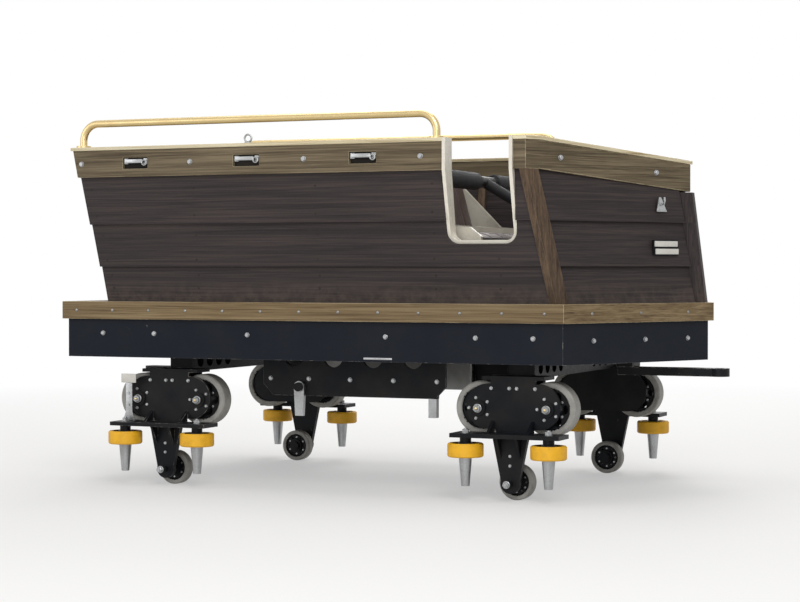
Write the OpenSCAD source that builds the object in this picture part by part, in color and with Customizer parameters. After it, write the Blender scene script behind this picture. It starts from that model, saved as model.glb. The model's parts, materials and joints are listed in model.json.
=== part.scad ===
// Four seat family coaster car with a lapped plank tub, two steering axles and caged wheel carriers.
// Millimetres. +X is the way of travel, +Y is left, +Z is up.
// The origin is on the floor under the middle of the car, level with the lowest wheel treads.

/* [Overall] */
// Length over the coupling eye and the coupling jaw
over_couplings = 2300; // [2100:10:2700]
// Distance from the front to the rear kingpin
wheelbase = 1300; // [1100:10:1500]
// Distance from the origin back to the middle of the wheelbase
axle_shift = 90; // [0:10:140]
// Centre distance of the two rails
gauge = 980; // [900:10:1100]
// Outside diameter of the rail tube that the wheels enclose
rail_d = 90; // [76:1:120]

/* [Tub] */
// Underside of the ledge board above the floor
ledge_z = 590; // [560:5:680]
// Height of the ledge board
ledge_h = 62; // [40:1:80]
// Height of the tub from the ledge top to the cap top
tub_h = 548; // [450:2:650]
// Height of the gunwale band
band_h = 95; // [70:1:120]
// Thickness of the cap on the gunwale
cap_h = 12; // [8:1:20]
// Half width of the planks at the ledge
half_low = 560; // [500:5:620]
// How far each side leans out at the gunwale
flare = 52; // [20:2:90]
// Board thickness of the tub
board_t = 22; // [14:1:30]
// Step of each plank lap
lap = 14; // [6:1:20]
// Share of the plank height taken by the lowest course
course_1 = 0.28; // [0.2:0.01:0.36]
// Share of the plank height taken by the middle course
course_2 = 0.34; // [0.26:0.01:0.4]
// Position of the lower stern edge
stern_x = -970; // [-1010:5:-930]
// How far the stern leans back at the top
stern_rake = 110; // [40:5:140]
// Position of the lower bow edge at the middle
nose_x = 1050; // [1000:5:1065]
// How far the bow leans back at the top
nose_rake = 70; // [0:5:100]
// Where the sides meet the bow under the band
bow_corner = 626; // [610:1:660]
// Half width of the stem at the middle of the bow
stem_half = 34; // [24:1:45]
// Width of the corner posts along the bow
post_w = 45; // [30:1:60]
// Width of the corner posts along the sides
post_side = 14; // [8:1:20]
// Overhang of the band beyond the planks
band_out = 16; // [8:1:24]
// Fall of the band towards the middle of the bow
bow_drop = 60; // [0:2:70]
// Depth of the band through the board
band_t = 44; // [30:1:60]
// Inner side of the stern's band ahead of the stern planks
stern_band = 30; // [24:1:32]

/* [Band slots] */
// Length of the slots in the band
slot_l = 100; // [60:5:140]
// Height of the slots in the band
slot_h = 40; // [24:1:50]
// Depth of the slots in the band
slot_deep = 10; // [4:1:14]
// Spacing of the slots along the band
slot_step = 440; // [400:5:460]
// First slot ahead of the stern end of the band
slot_start = 255; // [220:5:280]

/* [Entry] */
// Rear edge of the entry cut-out
entry_x = 345; // [300:5:380]
// Length of the entry cut-out
entry_l = 247; // [200:1:260]
// Depth of the cut-out below the cap
entry_d = 350; // [260:5:400]
// Corner radius of the cut-out
entry_r = 40; // [20:1:60]
// Thickness of the pale rim in the cut-out
rim_t = 12; // [6:1:16]

/* [Ledge and skirt] */
// Overhang of the ledge beyond the planks
ledge_out = 80; // [60:5:120]
// Front corner of the ledge
ledge_corner = 770; // [720:5:800]
// Bow point of the ledge
ledge_tip = 1095; // [1085:1:1110]
// Rear end of the ledge
ledge_rear = -1120; // [-1130:5:-1095]
// Width of the ledge board
ledge_w = 110; // [90:5:130]
// Height of the skirt plates
skirt_h = 135; // [100:5:140]
// Thickness of the skirt plates
skirt_t = 8; // [4:1:12]
// Thickness of the floor plate
floor_t = 14; // [8:1:24]
// Set-back of the skirt under the ledge
skirt_in = 16; // [8:1:30]

/* [Handrail] */
// Diameter of the handrail tube
rail_tube_d = 26; // [20:1:32]
// Height of the handrail above the cap
handrail_h = 97; // [70:1:120]
// Bend radius of the handrail
handrail_r = 60; // [40:1:75]
// Distance of the handrail's feet from the ends of the cap
rail_inset = 30; // [25:1:60]
// Width of the flange round each foot
rail_flange = 13; // [8:1:18]
// Thickness of the flange
flange_h = 6; // [4:1:10]

/* [Seats] */
// Front edge of the front seat pan
seat_x = 450; // [445:5:470]
// Distance between the two rows
row_pitch = 915; // [890:5:920]
// Length of the seat pan
pan_l = 450; // [420:5:455]
// Height of the seat pan above the floor plate
pan_h = 226; // [180:2:260]
// Distance of the seat backs' top below the cap
back_below = 20; // [14:1:60]
// Lean of the seat back at its top
back_lean = 85; // [40:5:90]
// Gap between the seat shell and the side boards
seat_side = 38; // [25:1:60]
// Fall of the seat pan towards the back
pan_drop = 12; // [0:1:30]
// Thickness of the seat shell
shell_t = 18; // [10:1:24]
// Thickness of the seat cushions
cushion_t = 55; // [35:1:70]

/* [Lap bars] */
// Pivot of a lap bar ahead of its seat pan
bar_ahead = 70; // [55:5:90]
// Height of the lap bar pivot above the floor plate
bar_pivot_h = 60; // [50:2:80]
// Reach of the crossbar behind the pivot
bar_reach = 270; // [220:5:300]
// Height of the crossbar above the pivot
bar_up = 415; // [360:5:440]
// Half length of the crossbar
bar_half = 430; // [380:5:450]
// Diameter of the lap bar tube
bar_d = 38; // [30:1:45]
// Diameter of the lap bar's pivot pin
bar_pin_d = 20; // [16:1:24]
// Length of the lap bar's hub
bar_hub_l = 60; // [40:1:70]
// Centre line radius of the lap bar's bend
bar_bend = 80; // [60:1:100]
// Thickness of the foam grips round the crossbar
grip_t = 12; // [6:1:16]
// Thickness of the ears of the floor bracket
ear_t = 12; // [8:1:16]
// Side of the floor bracket's base plate
base_l = 120; // [90:1:140]

/* [Chassis] */
// Height of the chassis rails
frame_h = 90; // [70:5:110]
// Half spacing of the chassis rails to their outer faces
frame_half = 340; // [300:5:360]
// Width of the chassis rails
frame_w = 60; // [40:1:80]
// Distance from the rear end of the ledge to the chassis
frame_rear = 110; // [80:1:140]
// Distance from the bow point of the ledge to the chassis
frame_front = 225; // [200:1:260]
// Length of the plain crossmembers along the car
cross_w = 80; // [60:1:100]
// Length of the crossmembers that hold the kingpins
king_w = 180; // [140:1:200]
// Width of the spine between the crossmembers
spine_w = 80; // [50:1:100]
// Height of the spine and of the outriggers
spine_h = 60; // [40:1:80]
// Distance of the outriggers from the edge of the ledge
strut_in = 40; // [26:1:60]
// Thickness of the upper turntable plate
table_t = 14; // [8:1:20]
// Distance from an axle to the end of the deep side frames
side_frame_in = 300; // [280:1:340]
// Distance of the side frames outside the chassis rails
side_frame_out = 40; // [35:1:60]
// Thickness of the side frame plates
web_t = 12; // [8:1:16]
// Width of the side frame flanges
web_flange = 42; // [30:1:50]
// Lightening holes of the side frames
web_hole_d = 76; // [50:1:100]
// Lower edge of the deep side frames above the floor
side_frame_z = 320; // [300:5:400]
// Length of the stub under each side frame
stub_l = 65; // [40:1:80]
// Pivot of the lift pawl along the car
pawl_x = -290; // [-330:5:-250]
// Height of the pawl pivot above the floor
pawl_z = 352; // [345:1:360]
// Reach of the pawl below its pivot
pawl_l = 102; // [70:1:120]
// Diameter of the pawl's pin
pawl_pin_d = 20; // [16:1:24]
// Thickness of the drawbar eye
eye_t = 28; // [20:1:34]
// Outer radius of the drawbar eye
eye_r = 35; // [30:1:45]
// Bore of the coupling pin
pin_d = 30; // [24:1:36]
// Top of the drawbar above the floor
eye_z = 426; // [420:1:432]
// Width of the drawbar
drawbar_w = 60; // [40:1:70]
// Length of the blocks that hold the drawbar and the jaw
hitch_l = 60; // [40:1:70]
// Width of the blocks that hold the drawbar and the jaw
hitch_w = 90; // [60:1:110]
// Thickness of the jaw's cheeks
jaw_t = 14; // [10:1:16]
// Play of the eye between the cheeks
jaw_play = 4; // [2:1:8]
// Length of the brake fin
fin_l = 580; // [400:5:700]
// Height of the brake fin
fin_h = 170; // [120:1:190]
// Thickness of the brake fin
fin_t = 14; // [8:1:20]

/* [Running gear] */
// Diameter of the running wheels
run_d = 180; // [160:5:200]
// Width of the running wheels
run_w = 60; // [50:1:70]
// Spacing of the two running wheels in a carrier
run_gap = 240; // [220:5:260]
// Diameter of the guide wheels
guide_d = 120; // [100:5:130]
// Width of the guide wheels
guide_w = 48; // [36:1:56]
// Spacing of the two guide wheels in a carrier
guide_gap = 290; // [270:5:310]
// Diameter of the up-stop wheels
stop_d = 120; // [100:5:130]
// Width of the up-stop wheels
stop_w = 40; // [30:1:50]
// Gap between the rail and the up-stop wheel
stop_gap = 5; // [3:1:10]
// Gap between the rail and the guide wheels
guide_clear = 3; // [2:1:6]
// Diameter of the running wheel axles
run_axle_d = 24; // [20:1:30]
// Diameter of the guide and up-stop axles
small_axle_d = 20; // [16:1:24]
// Length of the tapered nut under each guide wheel
guide_stub = 95; // [60:1:100]
// Thickness of the carrier plates
cheek_t = 12; // [8:1:14]
// Radius of the carrier plates round the ends
cheek_r = 75; // [60:1:80]
// Rise of the plates' middle line above the wheel axles
cheek_up = 7; // [0:1:12]
// Gap between the running wheels and the saddle plate above them
saddle_gap = 5; // [4:1:10]
// Length of the carrier's saddle plate
saddle_l = 220; // [160:1:240]
// Length of the axle beam along the car
beam_w = 90; // [70:1:110]
// Number of lightening holes on each side of an axle beam
beam_holes = 4; // [2:1:5]
// Metal left above and below those holes
beam_land = 14; // [10:1:18]
// Thickness of the lower turntable plate
lower_t = 12; // [8:1:16]
// Thickness of the guide wheel shelf
shelf_t = 14; // [10:1:18]
// Gap between a guide wheel and its shelf
shelf_gap = 18; // [14:1:24]
// Thickness of the up-stop arm
arm_t = 20; // [14:1:24]
// Radius of the up-stop arm round its axle
arm_r = 33; // [26:1:40]
// Spread of the up-stop arm at the shelf
arm_l = 124; // [90:1:140]
// Depth of the wheels' webs below their hubs
web_in = 8; // [4:1:12]
// Number of holes in each wheel's web
web_holes = 6; // [3:1:8]
// Metal left on both sides of the web holes
web_land = 3; // [2:1:5]
// Side clearance of the wheels
wheel_clear = 8; // [6:1:12]
// Diameter of the kingpin
kingpin_d = 60; // [50:1:70]
// Radius of the turntable plate
table_r = 150; // [120:5:160]
// Running clearance of the pins and bores
fit = 0.4; // [0.2:0.1:0.6]

/* [Hidden] */
$fn = 64;
e = 0.01;
seat_gap = 0.3;
// reach of the cutting shapes, beyond the whole car
far = 2 * over_couplings;

// heights of the running gear, built up from the up-stop wheel that stands on the floor
stop_z = stop_d / 2;
rail_z = stop_d + stop_gap + rail_d / 2;
run_z = rail_z + rail_d / 2 + run_d / 2;
run_top = run_z + run_d / 2;
half_gauge = gauge / 2;
guide_y = half_gauge + rail_d / 2 + guide_clear + guide_d / 2;
axle_mid = -axle_shift;
axle_front = axle_mid + wheelbase / 2;
axle_rear = axle_mid - wheelbase / 2;

// heights of the tub
ledge_top = ledge_z + ledge_h;
cap_top = ledge_top + tub_h;
band_z = cap_top - cap_h - band_h;
plank_h = band_z - ledge_top;
coupling_x = over_couplings / 2 - eye_r;
frame_z = ledge_z - frame_h;
floor_z = ledge_z + floor_t;
half_high = half_low + flare;
band_half = half_high + band_out;
ledge_half = half_low + ledge_out;
seat_half = half_low - board_t - seat_side;
back_h = cap_top - back_below - floor_z - pan_h;
inner_stern = stern_x + board_t + 10;
nose_slope = (nose_x - nose_rake * plank_h / tub_h - bow_corner) / half_high;
// plan of the floor: half width and bow point
floor_half = ledge_half - ledge_w;
floor_tip = nose_x - board_t - lap - 4;
nose_cos = 1 / sqrt(1 + nose_slope * nose_slope);
nose_sin = nose_slope * nose_cos;
nose_turn = 90 + atan(nose_slope);
// length of one bow side under the band, and the part of it that the side band wraps round
bow_l = half_high / nose_cos;
bow_wrap = post_w + 2;
entry_front = entry_x + entry_l;
entry_z = cap_top - entry_d;

// half width of the plank line, stern line and bow line at height z
function side_y(z) = half_low + (half_high - half_low) * (z - ledge_top) / plank_h;
function stern_at(z) = stern_x - stern_rake * (z - ledge_top) / tub_h;
function nose_at(z) = nose_x - nose_rake * (z - ledge_top) / tub_h;
function corner_at(z) = nose_at(z) - nose_slope * side_y(z);
function lap_z(i) = ledge_top + plank_h * (i == 0 ? 0 : i == 1 ? course_1 : i == 2 ? course_1 + course_2 : 1);

// outline of one lapped wall, given as distances out from a leaning line
module lapped(lean, thick) {
  zb = ledge_top;
  polygon([[lean * (lap_z(0) - zb) + lap, lap_z(0)], [lean * (lap_z(1) - zb), lap_z(1)],
    [lean * (lap_z(1) - zb) + lap, lap_z(1)], [lean * (lap_z(2) - zb), lap_z(2)],
    [lean * (lap_z(2) - zb) + lap, lap_z(2)], [lean * (lap_z(3) - zb), lap_z(3)],
    [lean * (lap_z(3) - zb) - thick, lap_z(3)], [-thick, lap_z(0)]]);
}

// turns a drawing of X and Z into a wall along Y from y0 to y1
module along_y(y0, y1) {
  translate([0, y1, 0]) rotate([90, 0, 0]) linear_extrude(height = y1 - y0) children();
}

// turns a drawing of Y and Z into a beam along X from x0 to x1
module along_x(x0, x1) {
  translate([x0, 0, 0]) rotate([90, 0, 90]) linear_extrude(height = x1 - x0) children();
}

// plan of one left half band that turns in at the bow
module plan_half(x_rear, y1, c1, t1, y2, c2, t2) {
  polygon([[x_rear, y1], [c1, y1], [t1, 0], [t2, 0], [c2, y2], [x_rear, y2]]);
}

module flip(side) {
  if (side > 0) children();
  else mirror([0, 1, 0]) children();
}

// the entry cut-out as a drawing of X and Z, shrunk by g
module entry_shape(g) {
  r = entry_r - g;
  x0 = entry_x + g;
  x1 = entry_front - g;
  z0 = entry_z + g;
  translate([x0, z0 + r]) square([x1 - x0, tub_h]);
  translate([x0 + r, z0]) square([x1 - x0 - 2 * r, tub_h]);
  translate([x0 + r, z0 + r]) circle(r = r);
  translate([x1 - r, z0 + r]) circle(r = r);
}

module stern_keep(over) {
  along_y(-far, far) polygon([[stern_at(ledge_top) - over, ledge_top - 1], [far, ledge_top - 1],
    [far, cap_top + 200], [stern_at(cap_top + 200) - over, cap_top + 200],
    [stern_at(cap_top) - over, cap_top]]);
}

module floor_pan() {
  y = floor_half;
  color([0.3, 0.31, 0.33]) translate([0, 0, ledge_z]) linear_extrude(height = floor_t)
    polygon([[inner_stern + seat_gap, -y], [floor_tip - nose_slope * y, -y], [floor_tip, 0],
      [floor_tip - nose_slope * y, y], [inner_stern + seat_gap, y]]);
}

// plank board that runs round the foot of the tub: two halves and a stern piece
module ledge() {
  yi = floor_half + seat_gap;
  x1 = floor_tip + 2;
  color([0.5, 0.42, 0.3]) translate([0, 0, ledge_z]) {
    for (side = [1, -1]) flip(side) linear_extrude(height = ledge_h) difference() {
      plan_half(ledge_rear, ledge_half, ledge_corner, ledge_tip, yi, x1 - nose_slope * yi, x1);
      translate([0, -10]) square([far, 10 + seat_gap / 2]);
    }
    translate([ledge_rear, -yi + seat_gap, 0])
      cube([inner_stern - ledge_rear, 2 * (yi - seat_gap), ledge_h]);
  }
}

module skirt() {
  y1 = ledge_half - skirt_in;
  tip = ledge_tip - skirt_in - 4;
  corner = ledge_corner - skirt_in / 2;
  k = skirt_t;
  color([0.09, 0.1, 0.13]) translate([0, 0, ledge_z - skirt_h]) {
    for (side = [1, -1]) flip(side) linear_extrude(height = skirt_h) difference() {
      plan_half(ledge_rear + skirt_in, y1, corner, tip, y1 - k, corner - k * 0.5, tip - k * 1.2);
      translate([0, -10]) square([far, 10 + seat_gap / 2]);
    }
    translate([ledge_rear + skirt_in, k + seat_gap - y1, 0]) cube([k, 2 * (y1 - k - seat_gap), skirt_h]);
  }
}

// the leaning line where a side board ends ahead of the entry
module side_keep() {
  along_y(0, far) polygon([[-far, ledge_top - 1], [corner_at(ledge_top - 1) - post_side, ledge_top - 1],
    [corner_at(band_z + 1) - post_side, band_z + 1], [-far, band_z + 1]]);
}

module side_panel(side) {
  color([0.2, 0.18, 0.18]) flip(side) difference() {
    intersection() {
      along_x(-far, far) translate([half_low, 0])
        lapped((half_high - half_low) / plank_h, board_t);
      stern_keep(0);
      side_keep();
    }
    along_y(0, far) entry_shape(0);
  }
}

module stern_panel() {
  zi = ledge_top;
  inner = half_low - board_t - seat_gap;
  top = half_high - board_t - seat_gap;
  color([0.2, 0.18, 0.18]) intersection() {
    along_y(-far, far) translate([stern_x, 0]) mirror([1, 0])
      lapped(stern_rake / tub_h, board_t);
    along_x(-far, 0) polygon([[-inner, zi], [inner, zi], [top, band_z], [-top, band_z]]);
  }
}

module nose_panel_left() {
  d = nose_rake * plank_h / tub_h;
  s0 = stem_half / nose_cos;
  s1 = half_low / nose_cos - post_w;
  s2 = bow_l - post_w;
  fall = bow_drop * (1 - s0 / (bow_l - bow_wrap));
  translate([nose_x, 0, 0]) rotate([0, 0, nose_turn]) intersection() {
    along_x(-100, far) mirror([1, 0]) lapped(-nose_rake * nose_cos / tub_h, board_t);
    along_y(-band_t * 5, band_t * 9) polygon([[s0, ledge_top], [s1, ledge_top],
      [s2 + d * nose_sin, band_z], [s0 + d * nose_sin, band_z - fall]]);
  }
}

module nose_panels() {
  color([0.27, 0.23, 0.22]) {
    nose_panel_left();
    mirror([0, 1, 0]) nose_panel_left();
    stem();
  }
}

// a bar with the same plan at both ends, leaning by dx and dy over its height
module leaning_bar(plan, z0, z1, dx, dy) {
  n = len(plan);
  polyhedron(points = concat([for (p = plan) [p[0], p[1], z0]],
    [for (p = plan) [p[0] + dx, p[1] + dy, z1]]),
    faces = concat([[for (i = [0 : n - 1]) n - 1 - i]], [[for (i = [0 : n - 1]) n + i]],
    [for (i = [0 : n - 1]) [i, (i + 1) % n, (i + 1) % n + n, i + n]]));
}

module stem() {
  w = stem_half - seat_gap;
  x0 = nose_x + lap + 6;
  top = band_z - bow_drop * 1.04 - seat_gap;
  xo = nose_x + band_out / nose_cos - nose_slope * w;
  xi = nose_x - board_t / nose_cos - nose_slope * w;
  leaning_bar([[x0, -w * 0.4], [xo, -w], [xi, -w], [xi, w], [xo, w], [x0, w * 0.4]],
    ledge_top, top, -nose_rake * (top - ledge_top) / tub_h, 0);
}

module corner_post_left() {
  x = corner_at(ledge_top);
  y = half_low;
  // unit vectors along the bow towards its tip and out of it
  ux = nose_sin;
  uy = -nose_cos;
  o = band_out;
  s = post_w - seat_gap;
  b = post_side - seat_gap;
  k = (1 - nose_sin) / nose_cos;
  leaning_bar([[x - b, y + o], [x + o * k, y + o], [x + s * ux + o * nose_cos, y + s * uy + o * nose_sin],
    [x + s * ux - board_t * nose_cos, y + s * uy - board_t * nose_sin], [x - board_t * k, y - board_t],
    [x - b, y - board_t]],
    ledge_top, band_z, corner_at(band_z) - x, half_high - half_low);
}

module corner_posts() {
  color([0.42, 0.3, 0.18]) {
    corner_post_left();
    mirror([0, 1, 0]) corner_post_left();
  }
}

// point on the band's bow line at s from the middle and t out of the planks
function bow_point(s, t) = [nose_at(band_z) - s * nose_sin + t * nose_cos, s * nose_cos + t * nose_sin];
function bow_s(p) = (nose_at(band_z) - p[0]) * nose_sin + p[1] * nose_cos;
function bow_fall(p) = -bow_drop * (1 - bow_s(p) / (bow_l - bow_wrap));
function band_corner(t) = [nose_at(band_z) + t / nose_cos - nose_slope * (half_high + t), half_high + t];
function band_middle(t) = [nose_at(band_z) + t / nose_cos - nose_slope * seat_gap / 2, seat_gap / 2];

// plan of one side band that wraps round the corner of the bow
module side_band(out, inn) {
  polygon([[-far, half_high + out], band_corner(out), bow_point(bow_l - bow_wrap, out),
    bow_point(bow_l - bow_wrap, -inn), band_corner(-inn), [-far, half_high - inn]]);
}

// the falling bow half of a band from z0 to z1
module bow_band(out, inn, z0, z1) {
  s1 = bow_l - bow_wrap - seat_gap;
  plan = [bow_point(s1, out), band_middle(out), band_middle(-inn), bow_point(s1, -inn)];
  polyhedron(points = concat([for (p = plan) [p[0], p[1], z0 + bow_fall(p)]],
    [for (p = plan) [p[0], p[1], z1 + bow_fall(p)]]),
    faces = [[3, 2, 1, 0], [4, 5, 6, 7], [0, 1, 5, 4], [1, 2, 6, 5], [2, 3, 7, 6], [3, 0, 4, 7]]);
}

module gunwale_sides() {
  x = stern_at(cap_top) + slot_start - slot_l / 2;
  y = half_high + band_out - slot_deep;
  z = band_z + band_h / 2;
  color([0.33, 0.3, 0.24]) for (side = [1, -1]) flip(side) difference() {
    intersection() {
      translate([0, 0, band_z]) linear_extrude(height = band_h) side_band(band_out, band_t - band_out);
      stern_keep(4);
    }
    along_y(0, far) entry_shape(0);
    for (i = [0 : 2]) translate([x + i * slot_step, y, z - slot_h / 2]) cube([slot_l, 60, slot_h]);
  }
}

// the band across the stern and the two falling halves at the bow
module gunwale_ends() {
  yi = half_high - band_t + band_out - seat_gap;
  color([0.33, 0.3, 0.24]) {
    along_y(-yi, yi) polygon([[stern_at(band_z) - 4, band_z], [stern_at(band_z) + stern_band, band_z],
      [stern_at(band_z) + stern_band, cap_top - cap_h], [stern_at(cap_top - cap_h) - 4, cap_top - cap_h]]);
    for (side = [1, -1]) flip(side)
      bow_band(band_out, band_t - band_out, band_z + seat_gap / 3, band_z + band_h - seat_gap / 3);
  }
}

module gunwale_caps() {
  inn = band_t - band_out + 6;
  yi = half_high - inn - seat_gap;
  color([0.8, 0.76, 0.62]) {
    for (side = [1, -1]) flip(side) {
      difference() {
        intersection() {
          translate([0, 0, cap_top - cap_h]) linear_extrude(height = cap_h) side_band(band_out + 6, inn);
          stern_keep(10);
        }
        along_y(0, far) entry_shape(0);
      }
      bow_band(band_out + 6, inn, cap_top - cap_h, cap_top);
    }
    translate([stern_at(cap_top) - 6, -yi, cap_top - cap_h]) cube([58, 2 * yi, cap_h]);
  }
}

module entry_rims() {
  color([0.9, 0.88, 0.82]) for (side = [1, -1]) flip(side) intersection() {
    difference() {
      along_y(0, far) entry_shape(seat_gap);
      along_y(0, far) entry_shape(rim_t);
      translate([0, 0, cap_top]) cube(far);
    }
    along_x(0, far) polygon([[half_low + lap + 2, entry_z], [band_half + 8, band_z],
      [band_half + 8, cap_top + 1], [half_high - band_t + band_out - 8, cap_top + 1],
      [half_high - band_t + band_out - 8, band_z], [half_low - board_t - 6, entry_z]]);
  }
}

module handrail() {
  y = half_high - band_t / 2 + band_out;
  x0 = stern_at(cap_top) + rail_inset;
  x1 = entry_x - rail_inset;
  z1 = cap_top + handrail_h - rail_tube_d / 2;
  r = rail_tube_d / 2;
  translate([0, y, 0]) {
    for (x = [x0, x1]) {
      translate([x, 0, cap_top]) cylinder(r = r, h = z1 - handrail_r - cap_top);
      translate([x, 0, cap_top]) cylinder(r = r + rail_flange, h = flange_h);
    }
    translate([x0 + handrail_r, 0, z1]) rotate([0, 90, 0])
      cylinder(r = r, h = x1 - x0 - 2 * handrail_r);
    translate([x0 + handrail_r, 0, z1 - handrail_r]) rotate([90, 0, 180]) mirror([0, 0, 0])
      rotate_extrude(angle = 90) translate([handrail_r, 0]) circle(r = r);
    translate([x1 - handrail_r, 0, z1 - handrail_r]) rotate([90, 0, 0])
      rotate_extrude(angle = 90) translate([handrail_r, 0]) circle(r = r);
  }
}

module handrails() {
  color([0.76, 0.62, 0.32]) {
    handrail();
    mirror([0, 1, 0]) handrail();
  }
}

// drawing of one seat shell, front edge at x = 0 and floor plate at z = 0
module seat_shape() {
  t = shell_t;
  k = back_lean / back_h;
  polygon([[0, 0], [0, pan_h], [-pan_l + 20, pan_h - pan_drop], [-pan_l - back_lean, pan_h + back_h],
    [-pan_l - back_lean - t, pan_h + back_h], [-pan_l - t - 4, pan_h - pan_drop - t],
    [-t, pan_h - t], [-t, 0]]);
}

module seat(x) {
  t = shell_t;
  r = t / 2 + 3;
  color([0.72, 0.7, 0.64]) translate([x, 0, floor_z]) {
    along_y(-seat_half, seat_half) {
      seat_shape();
      translate([-t / 2, pan_h - t / 2]) circle(r = r);
      translate([-pan_l - back_lean - t / 2, pan_h + back_h]) circle(r = r);
    }
    for (y = [-seat_half, -t / 2, seat_half - t]) along_y(y, y + t)
      polygon([[-t, 0], [-t, pan_h + back_h * 0.13], [-pan_l * 0.13, pan_h + back_h * 0.22],
        [-pan_l * 0.71, pan_h + back_h * 0.28], [-pan_l + 20 - back_lean * 0.5, pan_h + back_h * 0.72],
        [-pan_l - back_lean * 0.7, pan_h + back_h * 0.78], [-pan_l + t * 0.7, pan_h], [-pan_l + t * 0.7, 0]]);
  }
}

// front face of the seat back at height z above the floor plate
function back_face(z) = -pan_l + 20 - (back_lean + 20) * (z - pan_h + pan_drop) / (back_h + pan_drop);
function pan_face(x) = pan_h + pan_drop * x / (pan_l - 20);

module cushions(x) {
  c = cushion_t;
  w = seat_half - shell_t - 14;
  y0 = shell_t / 2 + 11;
  // clear of the bead along the front of the pan
  front = shell_t / 2 + 10;
  rear = -pan_l + c + 35;
  z0 = pan_h + 10;
  z1 = pan_h + back_h * 0.9;
  color([0.16, 0.13, 0.12]) translate([x, 0, floor_z]) for (side = [1, -1]) flip(side) {
    along_y(y0, w) polygon([[-front, pan_face(-front) + seat_gap], [-front, pan_h + c - 12],
      [-front - 12, pan_h + c], [rear, pan_h + c - 10], [rear, pan_face(rear) + seat_gap]]);
    along_y(y0, w) polygon([[back_face(z0) + seat_gap, z0], [back_face(z1) + seat_gap, z1],
      [back_face(z1) + c * 0.8, z1 + 4], [back_face(z0) + c * 0.8, z0]]);
  }
}

module lap_bar(x) {
  r = bar_d / 2;
  knee = bar_up * 0.62;
  ang = atan2(bar_reach, bar_up - knee);
  tan_l = bar_bend * tan(ang / 2);
  arm = sqrt(bar_reach * bar_reach + (bar_up - knee) * (bar_up - knee)) - tan_l;
  color([0.2, 0.2, 0.21]) translate([x + bar_ahead, 0, floor_z + bar_pivot_h]) difference() {
    union() {
      rotate([90, 0, 0]) cylinder(r = r + 5, h = bar_hub_l, center = true);
      cylinder(r = r, h = knee - tan_l);
      translate([-bar_bend, 0, knee - tan_l]) rotate([90, 0, 0])
        rotate_extrude(angle = ang) translate([bar_bend, 0]) circle(r = r);
      translate([-tan_l * sin(ang), 0, knee + tan_l * cos(ang)]) rotate([0, -ang, 0]) {
        cylinder(r = r, h = arm);
        translate([0, 0, -7]) cylinder(r = r + 2, h = 14);
      }
      translate([-bar_reach, 0, bar_up]) rotate([90, 0, 0]) rotate_extrude()
        polygon([[0, -bar_half], [r - 5, -bar_half], [r + 2, 7 - bar_half], [r + 2, bar_half - 7],
          [r - 5, bar_half], [0, bar_half]]);
      for (s = [1, -1]) translate([-bar_reach, s * bar_half * 0.55, bar_up]) rotate([90, 0, 0])
        cylinder(r = r + grip_t, h = bar_half * 0.7, center = true);
    }
    rotate([90, 0, 0]) cylinder(d = bar_pin_d + 2 * fit, h = bar_hub_l + 20, center = true);
  }
}

// floor bracket of a lap bar: two ears and the pin that carries the bar's hub
module bar_bracket(x) {
  r = bar_d / 2 + 5;
  b = base_l / 2;
  y = bar_hub_l / 2 + 1;
  color([0.14, 0.14, 0.15]) translate([x + bar_ahead, 0, floor_z]) {
    translate([-b, -b, 0]) cube([base_l, base_l, ear_t - 4]);
    for (s = [1, -1]) flip(s) {
      along_y(y, y + ear_t) {
        polygon([[10 - b, 4], [-r, bar_pivot_h], [r, bar_pivot_h], [b - 10, 4]]);
        translate([0, bar_pivot_h]) circle(r = r);
      }
    }
    translate([0, 0, bar_pivot_h]) rotate([90, 0, 0])
      cylinder(d = bar_pin_d, h = 2 * (y + ear_t + 5), center = true);
  }
}

module bar_brackets() {
  bar_bracket(seat_x);
  bar_bracket(seat_x - row_pitch);
}

// ladder frame: two box rails, crossmembers between them, a spine and outriggers
frame_x0 = ledge_rear + frame_rear;
frame_x1 = ledge_tip - frame_front;
cross_x = [frame_x0 + cross_w / 2, axle_rear, axle_mid, axle_front, frame_x1 - cross_w / 2];
function cross_half(i) = (i == 1 || i == 3 ? king_w : cross_w) / 2;

module frame_rails() {
  color([0.07, 0.08, 0.09]) for (s = [1, -1]) flip(s)
    translate([frame_x0, frame_half - frame_w, frame_z]) cube([frame_x1 - frame_x0, frame_w, frame_h]);
}

module frame_cross() {
  y = frame_half - frame_w;
  color([0.07, 0.08, 0.09]) for (i = [0 : 4]) difference() {
    union() {
      translate([cross_x[i] - cross_half(i), -y, frame_z]) cube([2 * cross_half(i), 2 * y, frame_h]);
      if (i == 1 || i == 3) translate([cross_x[i], 0, frame_z - table_t])
        cylinder(r = table_r, h = table_t);
    }
    if (i == 1 || i == 3) translate([cross_x[i], 0, frame_z - table_t - 20])
      cylinder(d = kingpin_d + 2 * fit, h = frame_h + table_t + 40);
  }
}

module frame_struts() {
  out_x = [frame_x0 + 40, axle_rear, axle_mid, axle_front, frame_x1 - 145];
  w = spine_h;
  y1 = ledge_half - strut_in - frame_half;
  color([0.07, 0.08, 0.09]) {
    for (i = [0 : 3]) translate([cross_x[i] + cross_half(i), -spine_w / 2, frame_z])
      cube([cross_x[i + 1] - cross_half(i + 1) - cross_x[i] - cross_half(i), spine_w, spine_h]);
    for (x = out_x, s = [1, -1]) flip(s) translate([x - w / 2, frame_half, ledge_z]) rotate([90, 0, 90])
      linear_extrude(height = w)
        polygon([[0, 0], [0, x == axle_mid ? -w / 2 : -w], [side_frame_out, -w / 2], [y1, -w / 2], [y1, 0]]);
  }
}

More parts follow.
